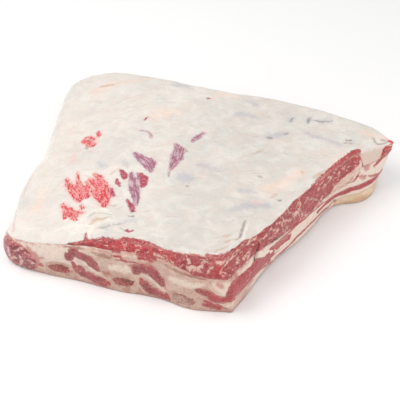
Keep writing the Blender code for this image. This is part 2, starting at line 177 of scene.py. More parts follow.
# Marks on the cap in plan: each stroke is a run of x, y, half width. RED is fresh lean that shows through,
# VEIL its pink haze, DEEP and PLUM darker lean, GREY grey patches plus painted shade in hollows and round
# dents, TAN stains plus painted shade along the curl's crease, PIT dents painted dark with painted shade,
# BLUSH a peach tint.
RED_STROKES = (
    ((-177, 138, 2.3), (-171, 135, 3.7), (-163, 128, 3.0)),
    ((-177, 143, 1.1), (-171, 142, 1.6), (-165, 137, 0.9)),
    ((-166, 149, 1.4), (-162, 142, 2.3)),
    ((-169, 77, 1.6), (-162, 67, 3.0), (-151, 56, 5.1), (-144, 47, 4.6), (-142, 42, 1.4)),
    ((-158, 63, 1.6), (-151, 62, 3.4), (-145, 60, 3.9), (-138, 49, 3.0)),
    ((-161, 84, 0.8), (-155, 72, 1.8), (-150, 63, 2.9)),
    ((-142, 79, 1.8), (-136, 74, 3.2), (-128, 64, 4.1), (-122, 52, 4.8), (-119, 41, 2.8)),
    ((-144, 72, 1.4), (-136, 66, 3.4), (-128, 56, 3.9), (-122, 46, 3.7)),
    ((-146, 68, 1.1), (-140, 61, 1.8), (-129, 49, 2.1), (-123, 44, 1.6)),
    ((-157, 41, 1.6), (-152, 35, 2.3), (-145, 28, 3.0), (-139, 23, 3.4), (-136, 19, 1.6)),
    ((-149, 36, 0.9), (-143, 29, 2.8), (-137, 28, 2.3), (-134, 28, 1.4)),
    ((-153, 33, 0.9), (-147, 23, 2.3)),
    ((-139, 38, 1.1), (-136, 34, 1.6)),
)
VEIL_STROKES = (
    ((-166, 69, 2.4), (-152, 58, 8.0), (-142, 52, 7.0)),
    ((-142, 71, 3.6), (-129, 58, 9.0), (-121, 46, 6.0)),
    ((-154, 36, 2.4), (-143, 27, 6.2), (-136, 27, 4.0)),
    ((-176, 138, 3.0), (-164, 131, 4.6), (-163, 144, 2.6)),
    ((-178, 115, 1.2), (-174, 104, 1.4)),
    ((-121, 63, 1.6), (-116, 54, 2.6)),
    ((-1, 78, 0.9), (4, 78, 1.2)),
    ((95, 199, 1.8), (98, 197, 2.2)),
)
DEEP_STROKES = (
    ((-120, 87, 1.8), (-116, 82, 3.4), (-114, 79, 2.5)),
    ((-120, 75, 1.1), (-118, 71, 2.1), (-115, 67, 0.9)),
    ((-120, 62, 0.9), (-118, 57, 1.6), (-115, 54, 0.9)),
    ((-103, 88, 1.4), (-98, 83, 3.6), (-96, 76, 3.2), (-96, 71, 1.4)),
    ((-101, 51, 0.9), (-97, 46, 2.1), (-94, 41, 1.6)),
    ((-124, 163, 0.8), (-123, 167, 1.0)),
    ((-78, 217, 1.0), (-76, 217, 1.0)),
    ((-91, 17, 0.9), (-89, 16, 1.5), (-86, 18, 0.9)),
    ((-123, 8, 1.1), (-122, 5, 1.8)),
)
PLUM_STROKES = (
    ((-117, 113, 1.6), (-112, 110, 3.9), (-104, 105, 5.3), (-98, 98, 3.9), (-95, 93, 1.1)),
    ((-101, 110, 1.1), (-97, 105, 3.0), (-95, 96, 1.4)),
    ((-111, 86, 1.8), (-106, 77, 3.7), (-101, 66, 4.4), (-96, 56, 3.2), (-94, 48, 1.8)),
    ((-105, 87, 1.8), (-100, 82, 3.9), (-96, 74, 3.2)),
    ((-103, 52, 0.9), (-97, 46, 2.8), (-94, 41, 2.3)),
    ((-85, 135, 1.6), (-80, 129, 4.8), (-79, 117, 6.0), (-79, 106, 3.2), (-80, 99, 1.1)),
    ((-72, 144, 1.8), (-69, 152, 2.8), (-66, 159, 1.8)),
    ((-124, 146, -0.2), (-118, 147, 0.5), (-114, 146, 0.6), (-110, 140, 1.5)),
    ((-122, 63, 0.9), (-119, 58, 1.8), (-116, 54, 1.1)),
)
# Where the cap's thin edge runs out over the upper muscle.
LEAN_STROKES = (
    (
        (-125, 3, 1.2), (-117, 3, 2.8), (-106, 4, 3.8), (-96, 3, 3.3), (-87, 5, 4.4), (-76, 6, 3.7),
        (-66, 6, 3.3), (-58, 5, 2.4), (-46, 5, 1.8),
    ),
    ((-40, 6, 1.2), (-32, 7, 1.8), (-28, 7, 1.0)),
    ((-22, 10, 1.2), (-17, 10, 1.6), (-10, 12, 1.4), (-4, 20, 1.4), (1, 28, 1.2)),
    ((38, 104, 0.6), (48, 126, 1.8), (58, 147, 2.2), (66, 161, 2.4), (71, 169, 2.6), (75, 173, 2.0)),
)
GREY_TINT_AND_SHADE_STROKES = (
    ((-8, 169, 1.9), (-1, 175, 4.3), (6, 181, 2.4)),
    ((-45, 200, 1.9), (-35, 200, 2.9), (-27, 199, 1.9)),
    ((-41, 223, 1.4), (-30, 219, 1.9)),
    ((-68, 93, 5.4), (-62, 90, 6.0)),
    ((-115, 234, 1.9), (-107, 234, 3.1), (-97, 230, 1.4)),
    ((-144, 96, 2.6), (-139, 90, 2.4)),
    ((-14, 89, 1.9), (-2, 90, 1.4)),
    ((-15, 63, 2.0), (-2, 73, 4.0), (12, 77, 3.0)),
    ((-110, 15, 1.4), (-105, 18, 1.2)),
    ((-119, 9, 1.1), (-113, 10, 1.4), (-107, 12, 1.7)),
    ((-100, 22, 1.7), (-95, 26, 1.9), (-89, 30, 1.4)),
    ((24, 186, 1.8), (57, 176, 2.4)),
    ((6, 201, 2.4), (9, 205, 2.4)),
    ((-56, 112, 3.0), (-37, 110, 2.0)),
    ((-123, 100, 1.4), (-118, 96, 1.7)),
    ((24, 207, 2.6), (42, 210, 2.6)),
)
SHADED_PIT_STROKES = (
    ((23, 203, 1.0), (23, 209, 1.2), (25, 213, 0.7)),
    ((27, 210, 0.6), (33, 208, 0.8), (39, 210, 0.7), (44, 213, 0.7)),
    ((7, 200, 0.7), (8, 207, 0.7)),
    ((62, 185, 1.0), (66, 186, 1.0)),
    ((61, 180, 0.8), (64, 181, 0.4), (67, 181, 0.7)),
    ((85, 196, 0.9), (87, 190, 0.9), (91, 186, 1.3), (95, 188, 1.1), (98, 192, 0.7)),
    ((93, 195, 1.3), (95, 194, 1.0)),
    ((-1.5, 54, 0.6), (-1.5, 45, 0.9), (-1, 36, 0.9), (-2, 30, 0.6)),
    ((-3, 112, 1.1), (-1.5, 112, 1.1)),
    ((-76, 133, 0.7), (-73, 128, 0.8)),
    ((-59, 81.5, 0.8), (-58, 81.5, 0.8)),
    ((-80, 97, 0.7), (-78, 90, 0.7)),
    ((-94, 33.5, 0.7), (-91, 34.5, 0.7)),
    ((-170, 127, 1.2), (-167, 125, 0.9)),
    ((20, 87.5, 1.3), (21, 88, 1.3)),
    ((-8, 170, 0.9), (-4, 169.5, 0.9)),
    ((6, 179, 0.6), (8.5, 181, 0.6)),
)
TAN_STAIN_AND_SHADE_STROKES = (
    ((-124, 7, 1.4), (-124, 11, 1.5), (-122, 15, 1.8), (-118, 20, 2.1), (-113, 22, 1.7), (-110, 26, 0.9)),
    ((-127, 80, 0.8), (-126, 85, 0.9), (-122, 89, 0.7)),
    ((31, 130, 1.3), (32, 129, 1.3)),
    ((43, 126, 1.6), (47, 133, 1.8), (52, 138, 0.9)),
    ((-14, 32, 1.0), (-10, 34, 1.3)),
    ((-18, 12, 0.7), (-14, 17, 0.8), (-8, 22, 0.7)),
    ((-11, 26, 0.9), (-7, 30, 0.9), (-2, 31, 0.9)),
    ((-194, 230, 1.6), (-188, 231, 2.6), (-180, 232, 1.4)),
    ((-206, 142, 1.1), (-204, 143, 0.9)),
    ((-16, 140, 0.9), (-11, 145, 1.4), (-8, 149, 0.7)),
    ((13, 88, 0.9), (16, 94, 0.9)),
)
BLUSH_STROKES = (
    ((-119, 171, 4.0), (-111, 177, 8.0), (-101, 184, 5.0)),
    ((-197, 220, 6.0), (-180, 234, 8.0), (-155, 240, 5.0)),
    ((-205, 170, 4.0), (-203, 148, 5.5), (-199, 124, 4.5)),
    ((-68, 231, 5.0), (-53, 228, 4.0)),
    ((3, 95, 4.0), (17, 105, 6.0), (30, 129, 5.0)),
    ((76, 202, 3.9), (87, 198, 3.9)),
    ((-188, 62, 4.0), (-182, 35, 5.0)),
    ((54, 142, 3.0), (64, 163, 3.0)),
)
# The cap's left edge, its raised lips painted lighter as a painted highlight, the folds between them painted
# darker as painted shade, and the red of the torn far right tip.
EDGE_STROKES = (
    ((-205, 84, 0.8), (-205, 72, 1.2), (-202, 56, 1.0)),
    ((-204, 45, 0.6), (-195, 24, 0.8), (-190, 11, 1.2)),
    ((-195, 9, 1.0), (-197, 8, 1.4)),
)
HIGHLIT_LIP_STROKES = (
    ((1, 32, 0.9), (1.5, 43, 1.4), (1.5, 53, 0.7)),
    ((-121, 8, 1.3), (-119, 14, 1.8), (-115, 18, 1.8), (-110, 22, 1.1)),
    ((-128, 26, 0.5), (-125, 32.5, 1.0), (-120, 35.5, 1.2), (-113, 36, 0.6)),
    ((-118.5, 13, 0.5), (-114.5, 18.5, 1.0), (-108, 23, 1.0), (-101, 25.5, 0.5)),
    ((-186, 12.5, 0.2), (-176, 11.5, 0.7), (-166, 12.5, 0.7), (-154, 11, 0.2)),
)
SHADED_FOLD_STROKES = (
    ((-119, 9, 0.4), (-111.5, 10.5, 0.8), (-106.5, 10, 0.6)),
    ((-118.5, 11, 0.4), (-112, 15, 0.6), (-106, 19.5, 0.6), (-98.5, 22.5, 0.4)),
    ((-97, 18, 0.4), (-91, 16.5, 0.9), (-87, 18, 0.5)),
    ((-96, 34.5, 0.3), (-91.5, 34.5, 0.5)),
    ((-126.5, 23.5, 0.3), (-123, 29.5, 0.5), (-117, 32, 0.5), (-109, 31.5, 0.3)),
    ((-116.5, 43, 0.3), (-111, 42, 0.6), (-108.5, 45, 0.3)),
)
TIP_STROKES = (
    (
        (196, 27, 1.0), (204, 31, 1.6), (210, 35.5, 2.2),
        (214.5, 41.5, 2.8), (218, 46, 2.6), (218, 51.5, 2.0),
    ),
)
# Strokes are measured no further out than this, and a mark this far out of its stroke does not show.
FAR_OUT = 14.0
NOT_HERE = -9.0
# Short creases strewn over the whole cap, each painted grey-beige along it as painted shade.
WRINKLES = 230
WRINKLE_SEED = 11

# Marks on the cut faces: each stroke is a run of distance round the slab, height, half width. Distance is x
# along the front and goes on from 0 up the right side.
MUSCLE_FAT = (
    ((-5, 45, 1.3), (-2, 43.5, 2.4), (-1, 44, 1.6)),
    ((38.5, 48, 0.7), (37, 45, 1.1), (37.5, 42.5, 0.9)),
    ((33, 42, 0.7), (29, 39, 1.0), (23.5, 38.5, 0.7)),
    ((43.5, 43, 0.6), (50, 42, 0.9), (56.5, 43, 0.9)),
    ((55, 42.5, 0.7), (58, 43.5, 1.3), (61, 44, 0.9)),
    ((68, 44.5, 0.7), (74, 42.5, 1.2), (76.5, 36.5, 0.9)),
    ((77.5, 45, 0.7), (79.5, 37.5, 1.1), (83.5, 29.5, 0.9)),
    ((86.5, 47.5, 0.7), (88.5, 42, 1.1), (94, 36.5, 2.0), (101.5, 34.5, 1.5), (104, 39.5, 0.9)),
    ((100, 33.5, 0.9), (107.5, 27.5, 1.5)),
    ((133, 39.5, 1.9), (134, 39, 1.9)),
    ((150, 38, 0.6), (154, 40, 1.0), (157.5, 44, 0.8)),
    ((156.5, 31, 1.0), (159.5, 25.5, 1.5)),
    ((173.5, 49.5, 0.6), (178, 51.5, 0.9), (181, 48, 0.6)),
    ((165.5, 44, 0.5), (170.5, 43.5, 0.7)),
    ((12, 38, 1.0), (19, 39.5, 1.3)),
    ((57, 44.5, 0.7), (62.5, 42, 1.0), (67.5, 38.5, 0.7)),
    ((74, 42, 0.8), (86, 36.5, 1.3), (95, 32.5, 1.0)),
    ((100.5, 38.5, 0.7), (105.5, 40, 1.1), (105, 44.5, 0.7)),
    ((115, 40, 0.6), (122, 35.5, 0.8), (132, 28, 0.6)),
    ((-36, 45, 1.0), (-34.5, 42.5, 1.8), (-31, 40, 2.0)),
    ((-28.5, 41, 1.3), (-24.5, 41, 1.8), (-22.5, 40, 1.0)),
    ((-64, 44.5, 0.7), (-55, 43, 0.9), (-47, 41.5, 0.6)),
    ((-24, 44, 0.7), (-22, 45.5, 1.0), (-19.5, 44.5, 0.7)),
    ((-19, 38.5, 0.8), (-17.5, 41, 1.0), (-15.5, 42, 0.6)),
    ((-8.5, 39.5, 0.7), (-6, 43.5, 0.9), (-5, 44.5, 0.8)),
    ((-14, 44.5, 0.6), (-10.5, 44.5, 1.0), (-8, 44.5, 0.6)),
    ((-79.5, 48, 0.7), (-76.5, 49.5, 1.0)),
    ((-57.5, 45, 0.6), (-53, 44, 0.7)),
)
MUSCLE_BRIGHT = (
    ((-118, 43, 2.4), (-101, 46, 3.6), (-84, 48, 4.2), (-66, 46, 3.0)),
    ((-60, 47, 1.5), (-48, 44, 2.2)),
    ((94.5, 26, 1.6), (102.5, 25, 1.8), (110.5, 23.5, 1.2)),
    ((-12, 38, 2.2), (-8, 40.5, 3.2)),
    ((181.5, 51, 2.8), (185.5, 47, 3.3)),
    ((214, 44, 5.0), (208, 34, 5.0)),
    ((136, 46, 2.2), (146, 47, 2.2)),
)
SEAM_RED = (
    ((-133.5, 21.5, 1.4), (-132, 16.5, 2.4), (-129.5, 12, 2.8), (-124, 8.5, 2.6)),
    ((-112, 5, 3.2), (-106.5, 5.5, 4.0), (-103, 6.5, 3.0)),
    ((-73.5, 19, 1.8), (-73, 14, 2.6), (-70, 8.5, 2.6), (-66, 5, 2.2)),
    ((-58, 4, 2.6), (-53.5, 5, 3.2), (-49.5, 4, 1.8)),
    ((-19, 12, 1.4), (-15, 10, 2.2), (-12, 6, 1.6)),
    ((-98, 42.5, 0.9), (-91.5, 43, 1.3)),
    ((-98, 39.5, 0.7), (-91, 38.5, 1.1), (-84.5, 38.5, 0.7)),
    ((-96, 35, 0.5), (-86, 36, 0.8), (-76, 36, 0.6)),
    ((-77.5, 42.5, 1.0), (-69.5, 42.5, 1.6), (-62, 41.5, 1.2)),
    ((-76, 39.5, 0.5), (-69.5, 40, 0.7), (-63, 39, 0.4)),
    ((9.5, 25, 3.4), (3.5, 26, 5.2), (1, 21, 3.8), (-0.5, 14.5, 3.0)),
    (
        (13, 13.5, 1.2), (18, 18.5, 2.0), (24, 23.5, 2.2), (27, 26.5, 2.0),
        (35, 24, 3.2), (46.5, 17.5, 2.5), (60.5, 9, 1.4),
    ),
    (
        (68.5, 5.5, 1.0), (80, 5.5, 1.1), (89.5, 7, 1.2), (99.5, 9.5, 1.5), (112, 9, 1.2),
        (125.5, 8.5, 1.0), (139, 7, 1.1), (153, 5.5, 1.1), (159.5, 7.5, 0.8),
    ),
    (
        (64, 25, 0.7), (77.5, 23.5, 1.0), (88.5, 23, 1.1), (97.5, 23.5, 1.4),
        (110.5, 21, 0.9), (123.5, 20.5, 0.9), (138, 18, 1.1), (148, 16, 0.6),
    ),
    ((30.5, 13.5, 0.6), (44.5, 11, 1.0), (58, 7, 1.2), (66, 4, 1.1)),
    ((23, 10, 0.6), (27.5, 11.5, 0.9), (34.5, 9, 0.5)),
    ((179.5, 22.5, 0.6), (181.5, 24.5, 1.2), (184, 28, 0.9), (187, 31, 0.6)),
    ((196.5, 21.5, 0.9), (204.5, 18.5, 1.2), (217.5, 15.5, 1.0)),
    ((185, 26.5, 0.5), (194, 23.5, 0.7), (204.5, 20, 0.8)),
    ((202, 30, 1.0), (207.5, 32.5, 2.2), (214.5, 36, 2.8), (219, 40, 2.4)),
    ((-52.5, 10.5, 0.9), (-50.5, 6.5, 1.0)),
    ((-165, 11, 1.2), (-162.5, 11.5, 1.9), (-161, 10.5, 1.2)),
    ((3, 12.5, 1.0), (10.5, 12.5, 0.8)),
)
SEAM_BROWN = (
    ((-112, 36.5, 0.4), (-105, 35.5, 1.0), (-99.5, 36.5, 1.2), (-97, 38, 0.5)),
    ((-115.5, 37.5, 0.4), (-106, 38, 0.6), (-99, 39.5, 0.4)),
    ((-139.5, 36.5, 0.6), (-133.5, 37.5, 0.9), (-127.5, 38, 1.0), (-121, 38, 0.6)),
    ((-86, 34.5, 0.4), (-79.5, 35, 0.6)),
    ((-66.5, 40.5, 0.5), (-53.5, 39, 0.8), (-40.5, 37, 1.0), (-28, 36, 1.0), (-19.5, 34.5, 0.6)),
    ((-16, 15, 0.9), (-12, 11.5, 1.0), (-7.5, 7.5, 0.8), (-2, 3.5, 0.8)),
    ((-16, 32, 0.7), (-14.5, 31, 0.6)),
    ((4, 34, 0.7), (5, 34, 0.7)),
    ((33.5, 19.5, 0.8), (37, 17.5, 0.6)),
    ((166.5, 23, 0.4), (176.5, 22.5, 0.7), (181.5, 22.5, 0.5)),
    ((-107, 18.5, 0.9), (-102, 18, 1.0)),
    ((161, 8, 1.4), (168, 4, 1.4)),
)
SEAM_PINK = (
    ((-173.5, 26.5, 1.6), (-166, 21.5, 2.6), (-165, 13.5, 1.8)),
    ((-164.5, 18.5, 1.4), (-159.5, 20, 1.4)),
    ((-142.5, 2.5, 1.2), (-132, 3, 1.6)),
    ((-104.5, 15.5, 2.0), (-102, 19, 2.0), (-100, 16, 1.5)),
    ((-82.5, 32, 1.4), (-66, 37.5, 1.2), (-60.5, 29.5, 1.4)),
    ((9.5, 35, 2.0), (9.5, 31.5, 2.6)),
    ((-10, 31, 1.6), (-6.5, 28.5, 1.8)),
    ((-10.5, 15.5, 0.8), (-6, 10.5, 0.8)),
    ((192, 40.5, 3.0), (194.5, 31.5, 3.0)),
    ((187.5, 25.5, 2.0), (190.5, 22.5, 2.0)),
    ((28, 4.5, 0.7), (18.5, 5, 0.9), (12, 5.5, 0.7)),
    ((-25.5, 24.5, 0.9), (-18.5, 24.5, 1.0)),
    ((53, 6, 0.9), (61.5, 4.5, 1.1)),
    ((166, 27, 1.0), (178.5, 27, 1.3)),
    ((-60, 24, 1.0), (-52, 14.5, 1.0)),
    ((-75.5, 8, 1.0), (-74.5, 2.5, 1.2)),
)
SEAM_WHITE = (
    ((-137, 32, 1.0), (-121, 37, 1.0), (-112, 35.5, 0.8)),
    ((-89.5, 42, 1.4), (-86.5, 41.5, 2.2), (-83.5, 41, 1.2)),
    ((-81.5, 42, 1.0), (-79, 42, 1.8), (-77, 42, 1.0)),
    ((-127.5, 25.5, 1.0), (-121.5, 21.5, 1.2), (-115.5, 17.5, 1.4), (-110, 14.5, 1.1)),
    ((-73, 24.5, 0.9), (-67, 22.5, 1.2), (-62, 17.5, 1.2), (-57.5, 13.5, 1.4), (-52.5, 12, 1.1)),
    ((-12.5, 31, 2.2), (-7, 27, 4.0), (-5, 21, 2.2), (-3.5, 30, 3.0)),
    (
        (-16, 14, 0.7), (-12, 11, 0.9), (-7.5, 9, 0.8), (-2, 7, 1.1),
        (1.5, 8, 1.1), (3, 12.5, 0.8), (7.5, 14, 0.7),
    ),
    (
        (40.5, 31, 1.3), (46.5, 27.5, 3.6), (57, 21, 3.4), (68.5, 15.5, 2.8), (79, 13.5, 2.6), (89, 13, 2.6),
        (101, 14, 2.5), (113.5, 13, 2.2), (125.5, 13, 1.8), (138.5, 11.5, 1.8), (151, 10, 1.4),
    ),
    ((122, 25, 0.9), (130.5, 23, 1.1), (141, 20.5, 0.9)),
    ((164.5, 20, 1.6), (170.5, 23.5, 2.0), (175.5, 27.5, 2.0), (181.5, 33.5, 2.2)),
    ((12, 32, 1.4), (21.5, 31.5, 2.4), (29, 30.5, 2.2)),
    ((87, 21.5, 0.6), (99.5, 21, 0.8), (127, 17, 0.8), (145, 14.5, 0.7), (154.5, 19, 0.6)),
    ((-151, 25.5, 3.3), (-146, 26, 3.4), (-142.5, 32, 2.2)),
    ((-98, 26, 3.0), (-86, 27, 4.0)),
    ((-47, 28, 3.3), (-31.5, 27.5, 3.4), (-22, 29, 1.6)),
)
# Fat under the muscle's lower edge by the far tip.
MUSCLE_SILL = (((157, 21, 2.5), (165, 24.5, 5.0), (175, 27, 7.0), (185, 32, 5.5), (189, 38, 2.5)),)
# The split between the upper muscle and the seam fat: pressed in, and painted near black as painted shade
# inside it.
SHADED_CREVICE = (
    ((44, 42, 0.4), (41.5, 38, 0.9), (39.5, 35, 1.3), (37.5, 31.5, 1.6), (35.5, 27.5, 1.2)),
    ((60, 31, 0.2), (68, 28.5, 0.5), (76, 26.5, 0.2)),
)
# Fat and deep red in the left end's muscle, then stains in the ribs' spongy cores.
MEAT_PALE = (
    ((-192, 7, 0.9), (-188, 11, 1.4), (-184.5, 11.5, 0.7)),
    ((-184.5, 20.5, 0.7), (-180.5, 23, 1.0), (-177.5, 25, 0.8)),
    ((-181, 15.5, 1.2), (-181, 10, 1.8), (-182, 5, 1.1)),
    ((-193, 18.5, 1.3), (-193, 12.5, 1.7), (-193.5, 9, 1.1)),
    ((-173, 14.5, 1.1), (-169.5, 12, 1.6), (-167, 10.5, 0.9)),
    ((-175.5, 21.5, 0.6), (-171.5, 21, 0.8)),
    ((-167.5, 24, 1.2), (-168, 18.5, 1.4)),
)
MEAT_DARK = (
    ((-197.5, 14, 0.8), (-190, 21, 1.2), (-183.5, 23.5, 1.3), (-178.5, 23.5, 1.4), (-175.5, 21.5, 1.1)),
    ((-189, 18.5, 0.9), (-185, 17, 1.3), (-179.5, 20, 1.1)),
    ((-174.5, 17, 1.0), (-173.5, 10.5, 1.4), (-177.5, 1.5, 1.4)),
    ((-183, 1.5, 1.0), (-180, 0.5, 1.4)),
    ((-188, 7, 0.8), (-184.5, 8, 1.2)),
    ((-171, 5, 0.9), (-169.5, 8.5, 0.9)),
    ((-200.5, 17.5, 0.9), (-202, 9.5, 1.1)),
)
CORE_DARK = (
    ((-156, 17, 1.0), (-149.5, 16.5, 1.8), (-143, 15.5, 2.4), (-138, 14, 2.2), (-134, 11, 1.4)),
    ((-98.5, 17.5, 1.2), (-93.5, 17, 2.2), (-87, 15, 3.2), (-80.5, 13, 3.0), (-77.5, 11.5, 1.8)),
    ((-47, 14.5, 0.8), (-41.5, 16, 1.2), (-35, 16, 1.4), (-28.5, 13.5, 1.4), (-25, 9.5, 1.4)),
)
CORE_PALE = (
    ((-45, 7, 2.4), (-39, 9.5, 3.8), (-34, 6, 2.6)),
    ((-150, 6, 1.2), (-142, 5.5, 1.4)),
)

# The stage: the camera stands where the photo was taken from, in metres and degrees.
CAMERA_TARGET = (-0.0004, 0.0103, 0.0)
CAMERA_TURN = 15.6257
CAMERA_TILT = 40.0
CAMERA_DISTANCE = 0.83556
CAMERA_LENS = 80.0
CAMERA_SENSOR = 36.0
CAMERA_SHIFT = -0.025
FLOOR_SIZE = 12.0
FLOOR_DROP = 0.0003
SKY_STRENGTH = 0.72
# Soft lamps: name, place, width in metres, power in watts.
LAMPS = (
    ("key_light", (-0.5, -0.2, 0.85), 0.6, 4.2),
    ("fill_light", (0.95, -0.5, 0.5), 0.9, 4.0),
)


def ease(t):
    """0 below 0, 1 above 1, and a smooth step between."""
    t = np.clip(t, 0.0, 1.0)
    return t * t * (3 - 2 * t)


def bend(table, at, column=1):
    """Smooth curve through a table's stations, carried on straight past its ends."""
    rows = np.array(table, float)
    station = rows[:, 0]
    value = rows[:, column]
    slope = np.gradient(value, station)
    inside = np.clip(at, station[0], station[-1])
    i = np.clip(np.searchsorted(station, inside) - 1, 0, len(station) - 2)
    step = station[i + 1] - station[i]
    t = (inside - station[i]) / step
    curve = (
        (2 * t**3 - 3 * t**2 + 1) * value[i]
        + (t**3 - 2 * t**2 + t) * step * slope[i]
        + (3 * t**2 - 2 * t**3) * value[i + 1]
        + (t**3 - t**2) * step * slope[i + 1]
    )
    return curve + (at - inside) * np.where(at < station[0], slope[0], slope[-1])


def plan(u, v):
    """The slab's half-height outline filled in between its four edges."""
    place = []
    for column in (1, 2):
        front = bend(FRONT_EDGE, u, column)
        back = bend(BACK_EDGE, u, column)
        left = bend(LEFT_EDGE, v, column)
        right = bend(RIGHT_EDGE, v, column)
        near = (1 - u) * FRONT_EDGE[0][column] + u * FRONT_EDGE[-1][column]
        far = (1 - u) * BACK_EDGE[0][column] + u * BACK_EDGE[-1][column]
        place.append((1 - v) * front + v * back + (1 - u) * left + u * right - (1 - v) * near - v * far)
    return place


def roll(w, middle, top, bottom):
    """How far a rounded side draws in at height w: top at its upper rim, bottom at its lower one."""
    up = np.clip((w - middle) / (1 - middle), 0, 1)
    down = np.clip((middle - w) / middle, 0, 1)
    return top * (1 - np.sqrt(1 - up * up)) + bottom * (1 - np.sqrt(1 - down * down))


def draw_in(u, v, w):
    """Inward shift of each side at height w, fading away from the side."""
    u = np.clip(u, 0, 1)
    v = np.clip(v, 0, 1)
    corner = 1 - ease(v / 0.14)
    left = roll(w, 0.5 - 0.26 * corner, LEFT_ROLL, LEFT_UNDERCUT * (1 - 0.6 * corner)) * (1 - u) ** 4
    rolled = 1 - ease((u - 0.2) / 0.16)
    slope = bend(FRONT_SLOPE, u) * np.clip((w - 0.72) / 0.28, 0, 1) ** 1.2
    front = (slope + (roll(w, 0.45, FRONT_ROLL, 1.5) - slope) * rolled) * (1 - v) ** 5
    upper = np.clip((w - 0.45) / 0.55, 0, 1) ** 1.4
    lower = np.clip((0.5 - w) / 0.5, 0, 1) ** 1.4
    rims = bend(RIGHT_RIMS, v, 1) * upper + bend(RIGHT_RIMS, v, 2) * lower
    right = rims * u**6
    back = roll(w, 0.5, BACK_ROLL, BACK_UNDERCUT) * v**5 * (1 - 0.7 * ease((u - 0.8) / 0.2))
    return left + right * RIGHT_INWARD[0], front - back + right * RIGHT_INWARD[1]


def top_of(u, v):
    """Height of the cap's upper face."""
    low = bend(LEFT_TOP, v)
    high = THICKNESS + 2.5 * np.sin(math.pi * np.clip(v, 0, 1)) * np.sin(math.pi * np.clip(u, 0, 1))
    high = high - 1.5 * ease((u - 0.8) / 0.2) * (1 - ease(v / 0.2))
    swell = 0.9 * np.sin(9.5 * u + 2.1 * v) * np.sin(7.3 * v - 3.0 * u + 0.8)
    return low + (high - low) * ease(u / TOP_RISE) + swell


def foot_of(u, v):
    """Height of the underside."""
    right = bend(RIGHT_LIP, v) * np.exp(-np.clip(1 - u, 0, 1) / 0.022)
    return right + LEFT_LIP * ease(v / 0.2) * np.exp(-np.clip(u, 0, 1) / 0.02)


def seam_of(u, v):
    """Height of the seam that the upper muscle and the cap lie on."""
    front = bend(SEAM_FRONT, u)
    back = bend(SEAM_BACK, u)
    tip = SEAM_TIP_RISE * ease((v - 0.76) / 0.12) * ease((u - 0.78) / 0.2)
    return front + (back - front) * bend(SEAM_FALL, v) + tip


def muscle_top_of(u, v):
    """Height of the upper muscle's top: a wedge that thins out to the left under a thicker cap."""
    rim = np.minimum(np.clip(1 - u, 0, 1) / 0.16, np.clip(v, 0, 1) / 0.18)
    cap = CAP_EDGE + (CAP_MIDDLE - CAP_EDGE) * ease(rim)
    seam = seam_of(u, v)
    full = top_of(u, v) - cap - seam - MUSCLE_EDGE
    return seam + MUSCLE_EDGE + full * ease((u - bend(MUSCLE_LEFT, v)) / MUSCLE_RAMP)


def at_height(u, v, z):
    """Point of the slab at plan place u, v and height z."""
    foot = foot_of(u, v)
    w = (z - foot) / (top_of(u, v) - foot)
    x, y = plan(u, v)
    dx, dy = draw_in(u, v, w)
    return np.stack([x + dx, y + dy, z], axis=-1)


def fan(x, y):
    """Where a point of the front cut lies at depth y, as the ribs spread out."""
    return x + y / FAN_LENGTH * (FAN_SHIFT + FAN_SPREAD * (x - FAN_CENTRE))


def oval(centre_x, half_width, centre_z, half_height, around, squareness=2.0):
    """Anticlockwise oval in x, z, squarer as squareness grows."""
    turn = np.arange(around) * 2 * math.pi / around
    c = np.cos(turn)
    s = np.sin(turn)
    x = centre_x + half_width * np.sign(c) * np.abs(c) ** (2 / squareness)
    z = centre_z + half_height * np.sign(s) * np.abs(s) ** (2 / squareness)
    return np.stack([x, z], axis=1)


def band(path, half, around):
    """Anticlockwise outline of a band with rounded ends along a path in x, z."""
    path = np.array(path, float)
    run = np.concatenate([[0], np.cumsum(np.linalg.norm(np.diff(path, axis=0), axis=1))])
    steps = around // 2
    spots = np.linspace(0, run[-1], steps)
    rows = np.column_stack([run, path])
    middle = np.stack([bend(rows, spots, 1), bend(rows, spots, 2)], axis=1)
    along = np.gradient(middle, axis=0)
    along /= np.linalg.norm(along, axis=1, keepdims=True)
    across = np.stack([-along[:, 1], along[:, 0]], axis=1)
    share = np.linspace(-1, 1, steps)[:, None]
    reach = half * np.sqrt(1 - 0.96 * np.abs(share) ** 6)
    out = along * np.sign(share) * np.abs(share) ** 7 * half * 0.6
    upper = middle + out + across * reach
    lower = middle + out - across * reach
    return np.concatenate([lower, upper[::-1]])


def fanned(outline, depth, fall, base, drift=0.0):
    """A band's front outline taken back to a depth: spread with the ribs and brought down."""
    height = 1 - fall * ease(depth / (0.75 * FAN_LENGTH))
    x = fan(outline[:, 0], depth) + drift * depth
    over = np.clip(outline[:, 1] - base, 0, None)
    return np.stack([x, outline[:, 1] - over * (1 - height)], axis=1)


def lattice(spots):
    """Smooth value noise from -1 to 1 at points in lattice units."""
    cell = np.floor(spots).astype(np.int64)
    t = spots - cell
    t = t * t * (3 - 2 * t)
    total = np.zeros(len(spots))
    for corner in range(8):
        step = np.array([corner & 1, corner >> 1 & 1, corner >> 2 & 1])
        key = (cell + step) @ np.array([73856093, 19349663, 83492791])
        key = (key ^ (key >> 13)) * 1274126177 & 0xFFFFFFFF
        value = ((key ^ (key >> 16)) & 0xFFFF) / 32767.5 - 1
        total += value * np.prod(np.where(step, t, 1 - t), axis=1)
    return total


def grain(points, size, octaves=2, seed=0):
    """Noise from about -1 to 1 whose largest lumps are size mm across."""
    total = np.zeros(len(points))
    for octave in range(octaves):
        spots = np.asarray(points) * (2.0**octave / size) + 19.7 * seed + 7.3 * octave
        total += lattice(spots) * 0.5**octave
    return total / (2 - 0.5 ** (octaves - 1))


